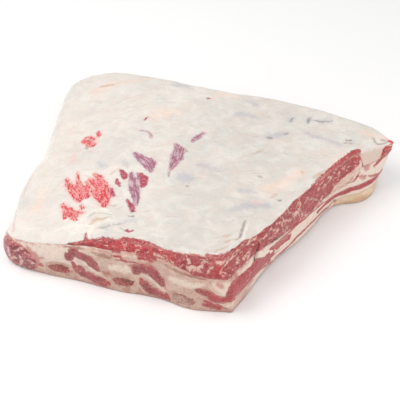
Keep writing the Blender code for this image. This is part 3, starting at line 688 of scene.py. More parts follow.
def stroke_field(x, y, strokes):
    """For each point: how far inside the nearest stroke it is, in mm, and its place along and across it."""
    best = np.full(len(x), -FAR_OUT)
    along = np.zeros(len(x))
    across = np.zeros(len(x))
    for stroke in strokes:
        run = 0.0
        for (ax, ay, aw), (bx, by, bw) in zip(stroke[:-1], stroke[1:]):
            length = math.hypot(bx - ax, by - ay)
            dx, dy = (bx - ax) / length, (by - ay) / length
            reach = FAR_OUT + max(aw, bw) + length / 2
            close = (np.abs(x - (ax + bx) / 2) < reach) & (np.abs(y - (ay + by) / 2) < reach)
            here = np.flatnonzero(close)
            px, py = x[here], y[here]
            t = np.clip(((px - ax) * dx + (py - ay) * dy) / length, 0, 1)
            inside = aw + (bw - aw) * t - np.hypot(px - ax - dx * t * length, py - ay - dy * t * length)
            nearer = inside > best[here]
            won = here[nearer]
            best[won] = inside[nearer]
            along[won] = run + t[nearer] * length
            across[won] = ((px - ax) * dy - (py - ay) * dx)[nearer]
            run += length
    return best, along, across


def deselect():
    """Nothing selected and nothing active."""
    bpy.ops.object.select_all(action="DESELECT")
    bpy.context.view_layer.objects.active = None


def pick(piece, kind, chosen):
    """Object-mode selection of a mesh's faces or edges, then edit mode in that select mode."""
    mesh = piece.data
    bpy.ops.object.mode_set(mode="EDIT")
    bpy.ops.mesh.select_mode(type=kind)
    bpy.ops.mesh.select_all(action="DESELECT")
    bpy.ops.object.mode_set(mode="OBJECT")
    elements = mesh.edges if kind == "EDGE" else mesh.polygons
    elements.foreach_set("select", chosen)
    bpy.ops.object.mode_set(mode="EDIT")


def spots_of(mesh):
    """Vertex places as an array."""
    flat = np.empty(len(mesh.vertices) * 3, np.float32)
    mesh.vertices.foreach_get("co", flat)
    return flat.reshape(-1, 3).astype(float)


def upright_edges(mesh):
    """Which edges run along the primitive's own z."""
    spots = spots_of(mesh)
    ends = np.empty(len(mesh.edges) * 2, np.int32)
    mesh.edges.foreach_get("vertices", ends)
    ends = ends.reshape(-1, 2)
    return np.abs(spots[ends[:, 0], 2] - spots[ends[:, 1], 2]) > 0.5


def block(name, across, along, levels, cuts, fine_faces):
    """A grid raised into a unit block; the walls, and the top or foot if asked, are divided again."""
    deselect()
    bpy.ops.mesh.primitive_grid_add(x_subdivisions=across, y_subdivisions=along, size=1)
    piece = bpy.context.object
    piece.name = name
    piece.data.name = name
    bpy.ops.object.mode_set(mode="EDIT")
    bpy.ops.mesh.select_all(action="SELECT")
    bpy.ops.mesh.extrude_region_move(TRANSFORM_OT_translate={"value": (0, 0, 1)})
    bpy.ops.object.mode_set(mode="OBJECT")
    pick(piece, "EDGE", upright_edges(piece.data))
    bpy.ops.mesh.subdivide(number_cuts=levels - 1)
    bpy.ops.object.mode_set(mode="OBJECT")
    count = len(piece.data.polygons)
    middle = np.empty(count * 3, np.float32)
    piece.data.polygons.foreach_get("center", middle)
    height = middle.reshape(-1, 3)[:, 2]
    chosen = (height > 0.001) & (height < 0.999)
    if "top" in fine_faces:
        chosen |= height >= 0.999
    if "foot" in fine_faces:
        chosen |= height <= 0.001
    pick(piece, "FACE", chosen)
    bpy.ops.mesh.subdivide(number_cuts=cuts)
    bpy.ops.object.mode_set(mode="OBJECT")
    return piece


def tube(name, around, rings):
    """A capped unit cylinder divided into rings along its length."""
    deselect()
    bpy.ops.mesh.primitive_cylinder_add(vertices=around, radius=1, depth=1, end_fill_type="NGON")
    piece = bpy.context.object
    piece.name = name
    piece.data.name = name
    pick(piece, "EDGE", upright_edges(piece.data))
    bpy.ops.mesh.subdivide(number_cuts=rings - 2)
    bpy.ops.object.mode_set(mode="OBJECT")
    return piece


def place_points(piece, points):
    """Writes mm points from the corner as metres about the middle of the underside."""
    placed = (points - (MIDDLE_X, MIDDLE_Y, 0)) * MM
    piece.data.vertices.foreach_set("co", placed.astype(np.float32).ravel())
    piece.data.update()


def points_of(piece):
    """A placed piece's points back in mm from the corner."""
    return spots_of(piece.data) / MM + (MIDDLE_X, MIDDLE_Y, 0)


def normals_of(piece):
    """Vertex normals as an array."""
    flat = np.empty(len(piece.data.vertices) * 3, np.float32)
    piece.data.vertex_normals.foreach_get("vector", flat)
    return flat.reshape(-1, 3).astype(float)


def turn_outward(piece):
    """All faces made to point outwards."""
    deselect()
    piece.select_set(True)
    bpy.context.view_layer.objects.active = piece
    bpy.ops.object.mode_set(mode="EDIT")
    bpy.ops.mesh.select_all(action="SELECT")
    bpy.ops.mesh.normals_make_consistent(inside=False)
    bpy.ops.object.mode_set(mode="OBJECT")


def shape_block(piece, place):
    """Sets a unit block in place and returns its u, v and level."""
    unit = spots_of(piece.data)
    u, v, level = unit[:, 0] + 0.5, unit[:, 1] + 0.5, unit[:, 2]
    place_points(piece, place(u, v, level))
    turn_outward(piece)
    return u, v, level


def shape_tube(piece, section, start, end, around):
    """Sets a unit cylinder's rings on the outlines that section gives at each depth."""
    unit = spots_of(piece.data)
    depth = np.round(start + (end - start) * (unit[:, 2] + 0.5), 3)
    index = np.round(np.arctan2(unit[:, 0], unit[:, 1]) / (2 * math.pi) * around).astype(int) % around
    points = np.empty_like(unit)
    for ring in np.unique(depth):
        here = depth == ring
        outline = section(ring)[index[here]]
        points[here] = np.column_stack([outline[:, 0], np.full(here.sum(), ring), outline[:, 1]])
    place_points(piece, points)
    turn_outward(piece)


def surface_tree(piece):
    """Search tree of a piece's surface, in mm from the corner."""
    faces = [tuple(face.vertices) for face in piece.data.polygons]
    return BVHTree.FromPolygons([Vector(point) for point in points_of(piece)], faces)


def trim(piece, hull):
    """Keeps what lies inside the hull."""
    deselect()
    piece.select_set(True)
    bpy.context.view_layer.objects.active = piece
    cut = piece.modifiers.new("Trim", "BOOLEAN")
    cut.operation = "INTERSECT"
    cut.solver = "MANIFOLD"
    cut.object = hull
    bpy.ops.object.modifier_apply(modifier=cut.name)


def mark(piece, name, values):
    """Stores one number a vertex for a material to read."""
    layer = piece.data.attributes.new(name, "FLOAT", "POINT")
    layer.data.foreach_set("value", np.asarray(values, np.float32))


def mark_way(piece, name, along, across, third):
    """Stores a place along and across the fibres, in metres, for a material's streaks."""
    layer = piece.data.attributes.new(name, "FLOAT_VECTOR", "POINT")
    way = np.stack([along, across, third], axis=1) * MM
    layer.data.foreach_set("vector", way.astype(np.float32).ravel())


def past_right(x, y):
    """How far a place lies outside the straight line of the right side."""
    return -(x * RIGHT_INWARD[0] + y * RIGHT_INWARD[1])


def wall_run(points):
    """Distance round the cut faces: x along the front, on from 0 up the right, then from 70 at the back."""
    x, y = points[:, 0], points[:, 1]
    on_right = past_right(x, y) > -9
    run = np.where(on_right & (y > 3), x * RIGHT_INWARD[1] - y * RIGHT_INWARD[0], x)
    return np.where((y > 175) & ~on_right, x + 300, run)


def lumps(points):
    """Relief that every cut face shares, so pieces that meet there stay flush."""
    return 0.55 * grain(points, 17, 2, 3) + 0.28 * grain(points, 5, 2, 4)


def to_linear(colour):
    """sRGB hex to linear RGBA."""
    channels = [int(colour[i : i + 2], 16) / 255 for i in (1, 3, 5)]
    return [c / 12.92 if c <= 0.04045 else ((c + 0.055) / 1.055) ** 2.4 for c in channels] + [1.0]


def add(tree, kind, inputs=None, **settings):
    """Adds a node with its settings, and sets or links its inputs."""
    made = tree.nodes.new(kind)
    for key, value in settings.items():
        setattr(made, key, value)
    for key, value in (inputs or {}).items():
        if isinstance(value, bpy.types.NodeSocket):
            tree.links.new(value, made.inputs[key])
        else:
            made.inputs[key].default_value = value
    return made


def noise(tree, place, size, seed=0.0, detail=2.0, warp=0.0):
    """Noise with lumps of size mm, about 0.5."""
    return add(
        tree, "ShaderNodeTexNoise",
        {"Vector": place, "W": seed, "Scale": 1 / (size * MM), "Detail": detail, "Roughness": 0.6,
         "Distortion": warp},
        noise_dimensions="4D",
    ).outputs["Fac"]


def threshold(tree, value, middle, soft, amount=1.0):
    """Soft step from 0 up to amount where value passes middle."""
    return add(
        tree, "ShaderNodeMapRange",
        {"Value": value, "From Min": middle - soft, "From Max": middle + soft, "To Max": amount},
        interpolation_type="SMOOTHSTEP",
    ).outputs["Result"]


def drawn_out(tree, stretch):
    """Coordinates along and across the fibres, drawn out by stretch along them."""
    way = add(tree, "ShaderNodeAttribute", attribute_name="way").outputs["Vector"]
    inputs = {"Vector": way, "Scale": (1 / stretch, 1.0, 1.0)}
    return add(tree, "ShaderNodeMapping", inputs).outputs["Vector"]


def layer_mask(tree, layer, place, ragged, masks, seed):
    """Where a layer shows: a field with a ragged edge, patches of noise, or the seams between cells."""
    spot = drawn_out(tree, layer["stretch"]) if "stretch" in layer else place
    if "at" in layer:
        value = add(tree, "ShaderNodeAttribute", attribute_name=layer["at"]).outputs["Fac"]
        inputs = {0: ragged, 1: 2.0 * layer["rag"], 2: value}
        depth = add(tree, "ShaderNodeMath", inputs, operation="MULTIPLY_ADD").outputs[0]
        mask = threshold(tree, depth, layer["rag"], layer["soft"], layer["amount"])
    elif "noise" in layer:
        lumpy = noise(tree, spot, layer["noise"], seed, 2.0, layer.get("warp", 0.5))
        mask = threshold(tree, lumpy, layer["over"], layer["soft"], layer["amount"])
    else:
        edge = add(
            tree, "ShaderNodeTexVoronoi", {"Vector": spot, "Scale": 1 / (layer["cells"] * MM)},
            feature="DISTANCE_TO_EDGE",
        ).outputs["Distance"]
        mask = add(
            tree, "ShaderNodeMapRange",
            {"Value": edge, "From Max": layer["soft"], "To Min": layer["amount"], "To Max": 0.0},
        ).outputs["Result"]
    if "cut" in layer:
        stretch, size, over, soft = layer["cut"]
        lines = noise(tree, drawn_out(tree, stretch), size, seed + 0.5, 2.0, 0.4)
        kept = threshold(tree, lines, over, soft)
        mask = add(tree, "ShaderNodeMath", {0: mask, 1: kept}, operation="MULTIPLY").outputs[0]
    if "within" in layer:
        both = {0: mask, 1: masks[layer["within"]]}
        mask = add(tree, "ShaderNodeMath", both, operation="MULTIPLY").outputs[0]
    return mask


def field(name, colour, rag, soft, amount, **more):
    """Layer over a stored field: its edge is ragged by rag mm and blurred by soft mm."""
    return {"at": name, "colour": colour, "rag": rag, "soft": soft, "amount": amount, **more}


def patches(size, colour, over, soft, amount, **more):
    """Layer of patches of size mm, fewer as over grows."""
    return {"noise": size, "colour": colour, "over": over, "soft": soft, "amount": amount, **more}


def cells(size, colour, soft, amount, **more):
    """Layer along the seams between cells of size mm."""
    return {"cells": size, "colour": colour, "soft": soft, "amount": amount, **more}


def tissue(name, base, mottle, layers, roughness, wet, relief, soft=0.1, blotch=22.0):
    """Material of raw tissue: a base and a hex mottle mixed by slow noise, then the layers, then bumps.

    relief is a list of size in mm, height in mm and stretch along the fibres.
    """
    material = bpy.data.materials.new(name)
    material.use_nodes = True
    tree = material.node_tree
    tree.nodes.clear()
    place = add(tree, "ShaderNodeTexCoord").outputs["Object"]
    share = threshold(tree, noise(tree, place, blotch, 0.3, 3.0), 0.5, 0.12)
    tone = add(
        tree, "ShaderNodeMix", {0: share, 6: (*base, 1.0), 7: to_linear(mottle)}, data_type="RGBA"
    ).outputs[2]
    ragged = noise(tree, place, 2.6, 1.7, 4.0)
    masks = {}
    for number, layer in enumerate(layers):
        mask = layer_mask(tree, layer, place, ragged, masks, 2.9 * number)
        masks[layer.get("at")] = mask
        tone = add(
            tree, "ShaderNodeMix", {0: mask, 6: tone, 7: to_linear(layer["colour"])}, data_type="RGBA"
        ).outputs[2]
    normal = None
    for number, (size, height, stretch) in enumerate(relief):
        spot = drawn_out(tree, stretch) if stretch else place
        bumps = noise(tree, spot, size, 5.1 * number, 3.0, 0.3)
        links = {"Height": bumps, "Distance": height * MM}
        if normal:
            links["Normal"] = normal
        normal = add(tree, "ShaderNodeBump", links).outputs["Normal"]
    gloss = add(
        tree, "ShaderNodeMapRange",
        {"Value": ragged, "From Min": 0.3, "From Max": 0.7, "To Min": roughness - 0.1,
         "To Max": roughness + 0.1},
    ).outputs["Result"]
    shader = add(
        tree, "ShaderNodeBsdfPrincipled",
        {"Base Color": tone, "Roughness": gloss, "Normal": normal, "IOR": 1.4, "Coat Weight": wet,
         "Coat Roughness": 0.2, "Coat IOR": 1.35, "Subsurface Weight": soft, "Subsurface Scale": LIGHT_DEPTH,
         "Subsurface Radius": LIGHT_SPREAD},
    )
    add(tree, "ShaderNodeOutputMaterial", {"Surface": shader.outputs["BSDF"]})
    return material


def finish_piece(piece, nodes, material):
    """Smooth shading, the material, and its place in the frame."""
    piece.data.polygons.foreach_set("use_smooth", np.ones(len(piece.data.polygons), bool))
    piece.data.materials.clear()
    piece.data.materials.append(material)
    piece.data.update()
    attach(piece, "root")
    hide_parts(*nodes)


def ragged_seam(u, v):
    """The seam with the small steps that fat and muscle leave where they part."""
    x, y = plan(u, v)
    spots = np.stack([x, y, np.zeros_like(x)], axis=-1)
    return seam_of(u, v) + 0.9 * grain(spots, 8, 3, 5)


def ragged_muscle_top(u, v):
    """The upper muscle's top with the same kind of steps, fading where it is thin."""
    x, y = plan(u, v)
    spots = np.stack([x, y, np.zeros_like(x)], axis=-1)
    seam = ragged_seam(u, v)
    top = muscle_top_of(u, v)
    return np.maximum(top + 1.5 * grain(spots, 7, 3, 6) * ease((top - seam) / 9), seam + 0.3)


def cap_foot_of(u, v):
    """Underside of the cap: the muscle's top where there is muscle, and the seam round it."""
    left = ease((u - bend(MUSCLE_LEFT, v) + 0.012) / 0.012)
    right = 1 - ease((u - np.minimum(bend(MUSCLE_RIGHT, v), 1.01) - 0.004) / 0.004)
    end = 1 - ease((v - 0.862) / 0.03) * ease((u - 0.93) / 0.03) * (1 - ease((v - 0.955) / 0.02))
    seam = ragged_seam(u, v)
    return seam + (ragged_muscle_top(u, v) - seam) * left * right * end


def wrinkles():
    """Short creases scattered over the cap, mostly running across the slab."""
    chance = np.random.default_rng(WRINKLE_SEED)
    strokes = []
    for _ in range(WRINKLES):
        x = chance.uniform(-215, 92)
        y = chance.uniform(8, 262)
        turn = chance.normal(0.12, 0.45)
        length = chance.uniform(4, 15)
        width = chance.uniform(0.1, 0.55)
        bow = chance.normal(0, 0.12) * length
        dx, dy = math.cos(turn) * length / 2, math.sin(turn) * length / 2
        middle = (x - bow * math.sin(turn), y + bow * math.cos(turn), width)
        strokes.append(((x - dx, y - dy, 0.05), middle, (x + dx, y + dy, 0.05)))
    return strokes


def cap_relief(x, y, marks):
    """Height of folds, flaps and dents on the cap's upper face, in mm."""
    points = np.column_stack([x, y, np.zeros(len(x))])
    across = np.column_stack([x * 0.45, y, np.zeros(len(x))])
    rise = 0.8 * grain(points, 42, 2, 1) + 0.5 * grain(across, 14, 3, 2) + 0.22 * grain(across, 5, 3, 8)
    rise -= 0.55 * ease((marks["red"] + 1) / 2) + 0.5 * ease((marks["plum"] + 1) / 2)
    rise -= 0.4 * ease((marks["shaded_wrinkle"] + 0.8) / 1.2) + 0.8 * ease((marks["shaded_pit"] + 0.8) / 1.4)
    rise += 1.1 * ease((marks["lip"] + 1.8) / 2.8) - 0.9 * ease((marks["shaded_fold"] + 1) / 1.5)
    curl = stroke_field(x, y, (((-124, 5, 1.2), (-124, 13, 2.4), (-119, 20, 2.4), (-109, 26, 1.2)),))[0]
    rise += 1.9 * ease((curl + 2.5) / 4)
    hollow = stroke_field(x, y, (((-117, 6, 3), (-115, 13, 3), (-108, 19, 2)),))[0]
    return rise - 1.4 * ease((hollow + 2) / 4)


def mark_strokes(piece, x, y, fields, hidden=None, hides=()):
    """Stores each named set of strokes as a field and returns them; hides are left off where hidden."""
    marks = {}
    for name, strokes in fields.items():
        marks[name] = stroke_field(x, y, strokes)[0]
        mark(piece, name, np.where(hidden, NOT_HERE, marks[name]) if name in hides else marks[name])
    return marks


def make_cap(sizes, colours):
    """The fat cap, and the fat that rolls over the slab's left side and back."""
    piece = block("cap_fat", 76, 60, 4, 3, ("top",))

    def place(u, v, level):
        foot = cap_foot_of(u, v) - 0.15
        return at_height(u, v, foot + (top_of(u, v) - foot) * level)

    u, v, level = shape_block(piece, place)
    points = points_of(piece)
    normals = normals_of(piece)
    x, y = points[:, 0].copy(), points[:, 1].copy()
    inside = np.minimum(np.minimum(u, 1 - u), np.minimum(v, 1 - v))
    on_top = level > 0.999
    on_wall = (level < 0.999) & (inside < RIM)
    marks = mark_strokes(
        piece, x, y,
        {"red": RED_STROKES, "veil": VEIL_STROKES, "deep": DEEP_STROKES, "plum": PLUM_STROKES,
         "lean": LEAN_STROKES, "grey_tint_and_shade": GREY_TINT_AND_SHADE_STROKES, "shaded_pit": SHADED_PIT_STROKES, "tan_stain_and_shade": TAN_STAIN_AND_SHADE_STROKES,
         "blush": BLUSH_STROKES, "edge": EDGE_STROKES, "lip": HIGHLIT_LIP_STROKES, "shaded_fold": SHADED_FOLD_STROKES,
         "shaded_wrinkle": wrinkles()},
        on_wall, ("shaded_pit", "shaded_wrinkle", "shaded_fold", "grey_tint_and_shade", "tan_stain_and_shade", "blush"),
    )
    fade = ease(inside / 0.02)
    lift = sizes.relief * cap_relief(x, y, marks) * (0.25 + 0.75 * fade)
    points[on_top, 2] += lift[on_top]
    out = (lumps(points) + 0.35) * (level > 0.02)
    points[on_wall] += normals[on_wall] * out[on_wall, None]
    place_points(piece, points)
    red, red_along, red_across = stroke_field(x, y, RED_STROKES)
    plum, plum_along, plum_across = stroke_field(x, y, PLUM_STROKES)
    along = np.where(red > plum, red_along, plum_along)
    across = np.where(red > plum, red_across, plum_across)
    mark_way(piece, "way", along, across, points[:, 2])
    mark(piece, "shade", 8.0 - np.abs(x + 15) * 0.13)
    thick = np.clip((1 - level) * (top_of(u, v) - cap_foot_of(u, v)), 0, 60)
    mark(piece, "side", np.where(inside < RIM, thick - 3.5 - 9 * ease((-95 - x) / 30), NOT_HERE))
    tip = stroke_field(wall_run(points), points[:, 2], TIP_STROKES)[0]
    near_tip = (u > 0.985) & (v > 0.8)
    mark(piece, "tip", np.where(near_tip, tip, NOT_HERE))
    lean_wall = beside_muscle(x, y) & (inside < RIM)
    mark(piece, "weld", np.where(lean_wall, 0.5 - level * (top_of(u, v) - cap_foot_of(u, v)), NOT_HERE))
    # Firm white outer fat under a thin moist skin: waxy, faintly grey and peach, with lean showing through.
    material = tissue(
        "raw_cap_fat", colours.cap_fat, "#E2DBD3",
        (
            field("shade", "#D0CBC4", 8.0, 9.0, 0.7),
            patches(34, "#C8C5C0", 0.54, 0.16, 0.5),
            field("blush", "#F0D6C6", 5.0, 6.0, 0.75),
            patches(16, "#E3CDC2", 0.55, 0.16, 0.4, warp=1.0),
            patches(13, "#F1EDE5", 0.56, 0.18, 0.42, warp=0.8),
            patches(5, "#C4BDB5", 0.62, 0.12, 0.22, warp=1.2),
            # Grey thin patches of fat, plus painted shade where the strokes lie in the hollow by the curl
            # and round the dents.
            field("grey_tint_and_shade", "#B4B2BD", 4.5, 4.0, 0.55),
            # Painted shade: grey-beige along the bottom of each crease.
            field("shaded_wrinkle", "#B3A89D", 0.9, 0.9, 0.35),
            # Painted shade: darker brown-grey along the bottom of the folds.
            field("shaded_fold", "#9C8C82", 1.0, 1.1, 0.45),
            field("veil", "#EFBFBA", 4.0, 4.0, 0.7),
            field("plum", "#CBA6B5", 3.0, 2.6, 0.8),
            field("plum", "#9C5A70", 1.8, 1.0, 0.9, cut=(6.0, 1.5, 0.46, 0.1)),
            field("red", "#EC8F8D", 3.4, 2.2, 0.85),
            field("red", "#D42F3C", 1.8, 0.7, 0.96, cut=(5.0, 1.6, 0.47, 0.08)),
            patches(1.4, "#A02B39", 0.58, 0.06, 0.6, within="red", stretch=4.0),
            patches(1.4, "#F5D6CB", 0.58, 0.05, 0.8, within="red", stretch=3.5, warp=1.0),
            field("tip", "#D0434A", 1.8, 0.6, 0.95),
            field("deep", "#D59AA5", 2.6, 1.6, 0.7),
            field("deep", "#A33347", 2.0, 0.8, 0.9),
            patches(1.8, "#D7929C", 0.57, 0.06, 0.75, within="deep"),
            field("lean", "#AC4146", 2.2, 0.7, 0.96),
            patches(2.6, "#862A33", 0.56, 0.06, 0.6, within="lean"),
            patches(2.2, "#DBA69C", 0.6, 0.06, 0.7, within="lean"),
            field("edge", "#C9A09C", 2.4, 1.6, 0.45),
            # Painted highlight: the raised lips made lighter.
            field("lip", "#F1ECE4", 1.0, 1.0, 0.5),
            # Tan stains, plus painted shade on the shaded side of the curl by the front edge.
            field("tan_stain_and_shade", "#C7A282", 1.6, 1.4, 0.55),
            # Painted shade: dark grey in the dents and in the slit at the front right.
            field("shaded_pit", "#7F7873", 1.8, 1.1, 0.62),
            field("side", "#CDB2A3", 3.0, 3.0, 0.8),
            field("weld", "#C2706C", 1.1, 0.5, 0.8),
        ),
        0.42, 0.28, ((12.0, 1.0, 0), (4.2, 0.5, 0), (1.3, 0.14, 0)), 0.12, 34.0,
    )
    finish_piece(piece, ("fat_cap",), material)


def beside_muscle(x, y):
    """Which places lie along the cut sides where the upper muscle meets the cap's edge."""
    front = (y < 20) & (x > -128)
    right = (past_right(x, y) > -12) & (y < 182)
    return front | right


def make_seam(sizes, colours):
    """The seam fat that holds the ribs and the muscles between them."""
    piece = block("seam_fat_body", 80, 64, 8, 2, ("foot",))
    u, v, level = shape_block(piece, lower_place)
    points = points_of(piece)
    normals = normals_of(piece)
    inside = np.minimum(np.minimum(u, 1 - u), np.minimum(v, 1 - v))
    on_wall = (inside < RIM) & (level > 0.001)
    run = wall_run(points)
    height = points[:, 2].copy()
    marks = mark_strokes(
        piece, run, height,
        {"red": SEAM_RED, "brown": SEAM_BROWN, "pink": SEAM_PINK, "white": SEAM_WHITE, "shaded_crevice": SHADED_CREVICE},
    )
    out = lumps(points) * sizes.relief
    out += 0.7 * ease((marks["white"] + 1) / 2.5) - 0.35 * ease((marks["brown"] + 0.6) / 1.2)
    out += 0.3 * ease((marks["red"] + 0.6) / 1.4)
    out -= 3.4 * ease((marks["shaded_crevice"] + 1.2) / 1.8)
    points[on_wall] += normals[on_wall] * out[on_wall, None]
    on_foot = (level < 0.001) & (inside > 0.004)
    hollow = 0.45 * (1 + grain(points, 11, 3, 14)) * ease(inside / 0.05)
    points[on_foot, 2] += hollow[on_foot]
    place_points(piece, points)
    mark_way(piece, "way", run, height, points[:, 1] * 0.3)
    mark(piece, "foot", np.where(level < 0.001, 3.0, 2.6 - height))
    mark(piece, "under", 2.0 - (ragged_seam(u, v) - height))
    x, y = points[:, 0], points[:, 1]
    left_cream = np.minimum((-124 - x) * 0.16, (height - 17 + 14 * ease((y - 20) / 140)) * 0.5)
    right_cream = np.minimum((run - 30) * 0.2, (height - 3) * 0.5)
    back_cream = np.minimum((y - 150) * 0.1, (height - 3) * 0.5)
    sides = np.where(run == x, -9.0, right_cream)
    mark(piece, "cream", np.clip(np.maximum(np.maximum(left_cream, back_cream), sides), -9, 5))
    # Softer pinkish fat with skins through it, cream where it is thick, streaked red and brown at the cut.
    material = tissue(
        "raw_seam_fat", colours.seam_fat, "#C39F91",
        (
            patches(9, "#D9C1B0", 0.54, 0.1, 0.6, warp=1.0),
            patches(4.5, "#B68878", 0.56, 0.08, 0.45, stretch=2.6),
            field("cream", "#E4D3C6", 2.4, 2.4, 0.85),
            field("white", "#E3D0C0", 3.2, 1.8, 0.8),
            field("foot", "#B0827A", 2.6, 1.6, 0.65),
            field("pink", "#B9756E", 2.0, 1.5, 0.8),
            field("under", "#BE8077", 2.4, 1.2, 0.7, cut=(7.0, 1.3, 0.5, 0.08)),
            field("brown", "#8C5A45", 0.9, 0.6, 0.7),
            field("red", "#A63E42", 1.3, 0.5, 0.95),
            patches(1.9, "#CF9086", 0.59, 0.06, 0.75, within="red"),
            # Painted shade: near black inside the split under the upper muscle.
            field("shaded_crevice", "#3A1512", 0.5, 0.5, 0.95),
            patches(1.5, "#A8695C", 0.62, 0.05, 0.4),
        ),
        0.4, 0.32, ((5.0, 0.7, 0), (1.6, 0.35, 3.0), (0.8, 0.12, 0)), 0.12, 14.0,
    )
    finish_piece(piece, ("seam_fat",), material)


def lower_place(u, v, level):
    """From the underside up to the seam."""
    foot = foot_of(u, v)
    return at_height(u, v, foot + (ragged_seam(u, v) - 0.1 - foot) * level)


def make_upper_muscle(sizes, colours):
    """The marbled muscle between the seam and the cap."""
    piece = block("upper_muscle_body", 80, 64, 5, 4, ())

    def place(a, v, level):
        left = bend(MUSCLE_LEFT, v)
        u = left + (np.minimum(bend(MUSCLE_RIGHT, v), 1.0) - left) * a
        seam = ragged_seam(u, v)
        return at_height(u, v, seam + (ragged_muscle_top(u, v) + 0.2 - seam) * level)

    a, v, level = shape_block(piece, place)
    points = points_of(piece)
    normals = normals_of(piece)
    on_wall = (np.minimum(1 - a, np.minimum(v, 1 - v)) < RIM) & (a > RIM)
    run = wall_run(points)
    height = points[:, 2].copy()
    marks = mark_strokes(
        piece, run, height,
        {"fat": MUSCLE_FAT, "bright": MUSCLE_BRIGHT, "sill": MUSCLE_SILL, "shaded_crevice": SHADED_CREVICE},
    )
    swell = np.sin(math.pi * np.clip(level, 0, 1)) ** 0.6
    bundles = 0.55 * grain(points, 6, 2, 9) + 0.35 * grain(points, 2.8, 2, 10)
    out = lumps(points) + sizes.relief * swell * (0.8 + bundles - 0.35 * ease((marks["fat"] + 0.5) / 1))
    out -= 2.4 * ease((marks["shaded_crevice"] + 1) / 1.6)
    points[on_wall] += normals[on_wall] * out[on_wall, None]
    place_points(piece, points)
    mark_way(piece, "way", run + height * 0.5, height - 0.2 * run, points[:, 1] * 0.2)
    deep = np.minimum(level, 1 - level) * 22
    mark(piece, "rim", 0.5 - deep)
    mark(piece, "side", np.clip(np.minimum(run - 30, 190 - run) * 0.2, -9, 9))
    # Moist red muscle in short bundles, veined with cream fat, with darker patches painted as shade between
    # the bundles.
    material = tissue(
        "raw_upper_muscle", colours.upper_muscle, "#A84A4C",
        (
            field("side", "#A03136", 6.0, 6.0, 0.8),
            field("bright", "#BC3B40", 4.0, 3.0, 0.85),
            cells(2.8, "#BC736D", 0.12, 0.3, stretch=2.0),
            # Painted shade: dark red patches that stand for shade between the bundles.
            patches(3.4, "#7C272E", 0.55, 0.07, 0.6, stretch=1.8),
            patches(4.4, "#DDB4A6", 0.62, 0.04, 0.85, stretch=2.0, warp=1.2),
            patches(1.8, "#D0958B", 0.62, 0.05, 0.6, stretch=1.5),
            field("rim", "#CB9085", 2.2, 0.7, 0.75),
            field("fat", "#DDBCAB", 2.2, 0.8, 0.82, cut=(2.0, 2.0, 0.47, 0.09)),
            field("sill", "#DCC2B2", 2.6, 0.9, 0.93),
            patches(4.0, "#C4827A", 0.58, 0.07, 0.6, within="sill", stretch=3.0),
            # Painted shade: near black inside the split along the seam fat.
            field("shaded_crevice", "#431512", 0.6, 0.6, 0.9),
        ),
        0.36, 0.42, ((3.2, 0.9, 1.6), (1.3, 0.4, 0), (0.7, 0.14, 0)), 0.08, 16.0,
    )
    finish_piece(piece, ("upper_muscle",), material)


def rib_outline(rib, around):
    """Section of a rib's outer surface at any depth."""
    centre, half, middle, height = rib[:4]

    def at(depth):
        share = depth / FAN_LENGTH
        width = half * (1 + RIB_WIDENING * share + 0.03 * math.sin(5 * share + centre))
        outline = oval(fan(centre, depth), width, middle, height, around, RIB_SQUARENESS)
        outline[:, 1] = np.maximum(outline[:, 1], 0.02)
        return outline

    return at


def marrow_outline(rib, around):
    """Section of the marrow inside a rib, uneven where it meets the hard bone."""
    centre, half, middle, height = rib[0], rib[4], rib[5], rib[6]
    turn = np.arange(around) * 2 * math.pi / around
    uneven = 1 + 0.04 * np.sin(3 * turn + centre) + 0.03 * np.sin(7 * turn + 2 * centre)

    def at(depth):
        width = half * (1 + RIB_WIDENING * depth / FAN_LENGTH)
        outline = oval(fan(centre, depth), width, middle, height, around, MARROW_SQUARENESS)
        heart = np.array([fan(centre, depth), middle])
        return heart + (outline - heart) * uneven[:, None]

    return at


def band_outline(path, half, end, fall, base, drift, start, around):
    """Section of a muscle band: it thins towards an end that lies inside the slab."""
    turn = np.arange(around) * 2 * math.pi / around
    uneven = 0.6 * np.sin(5 * turn + path[0][0]) + 0.45 * np.sin(11 * turn + path[0][1])

    def at(depth):
        size = 1.0
        if end < FAN_LENGTH:
            size = 1 - 0.55 * ease((depth - 0.45 * end) / (0.55 * end))
        if start > 0:
            size = 0.4 + 0.6 * ease((depth - start) / 20)
        outline = fanned(band(path, half * size, around), depth, fall, base, drift)
        ahead = np.roll(outline, -1, axis=0) - np.roll(outline, 1, axis=0)
        ahead /= np.maximum(np.linalg.norm(ahead, axis=1, keepdims=True), 1e-6)
        return outline + uneven[:, None] * np.stack([ahead[:, 1], -ahead[:, 0]], axis=1)

    return at


def end_meat_outline(around):
    """Section of the left end's muscle."""
    centre, half, middle, height = END_MEAT

    def at(depth):
        inward = END_MEAT_DRAW_IN * ease((depth - 4) / 34)
        lift = END_MEAT_LIFT * ease((depth - 2) / 26)
        sag = 0.28 * height * ease((depth - 30) / 150)
        return oval(
            fan(centre, depth) + inward - 6 * depth / FAN_LENGTH, half - 0.45 * inward,
            middle + lift - sag, height - 0.35 * lift - sag, around, END_MEAT_SQUARENESS,
        )

    return at


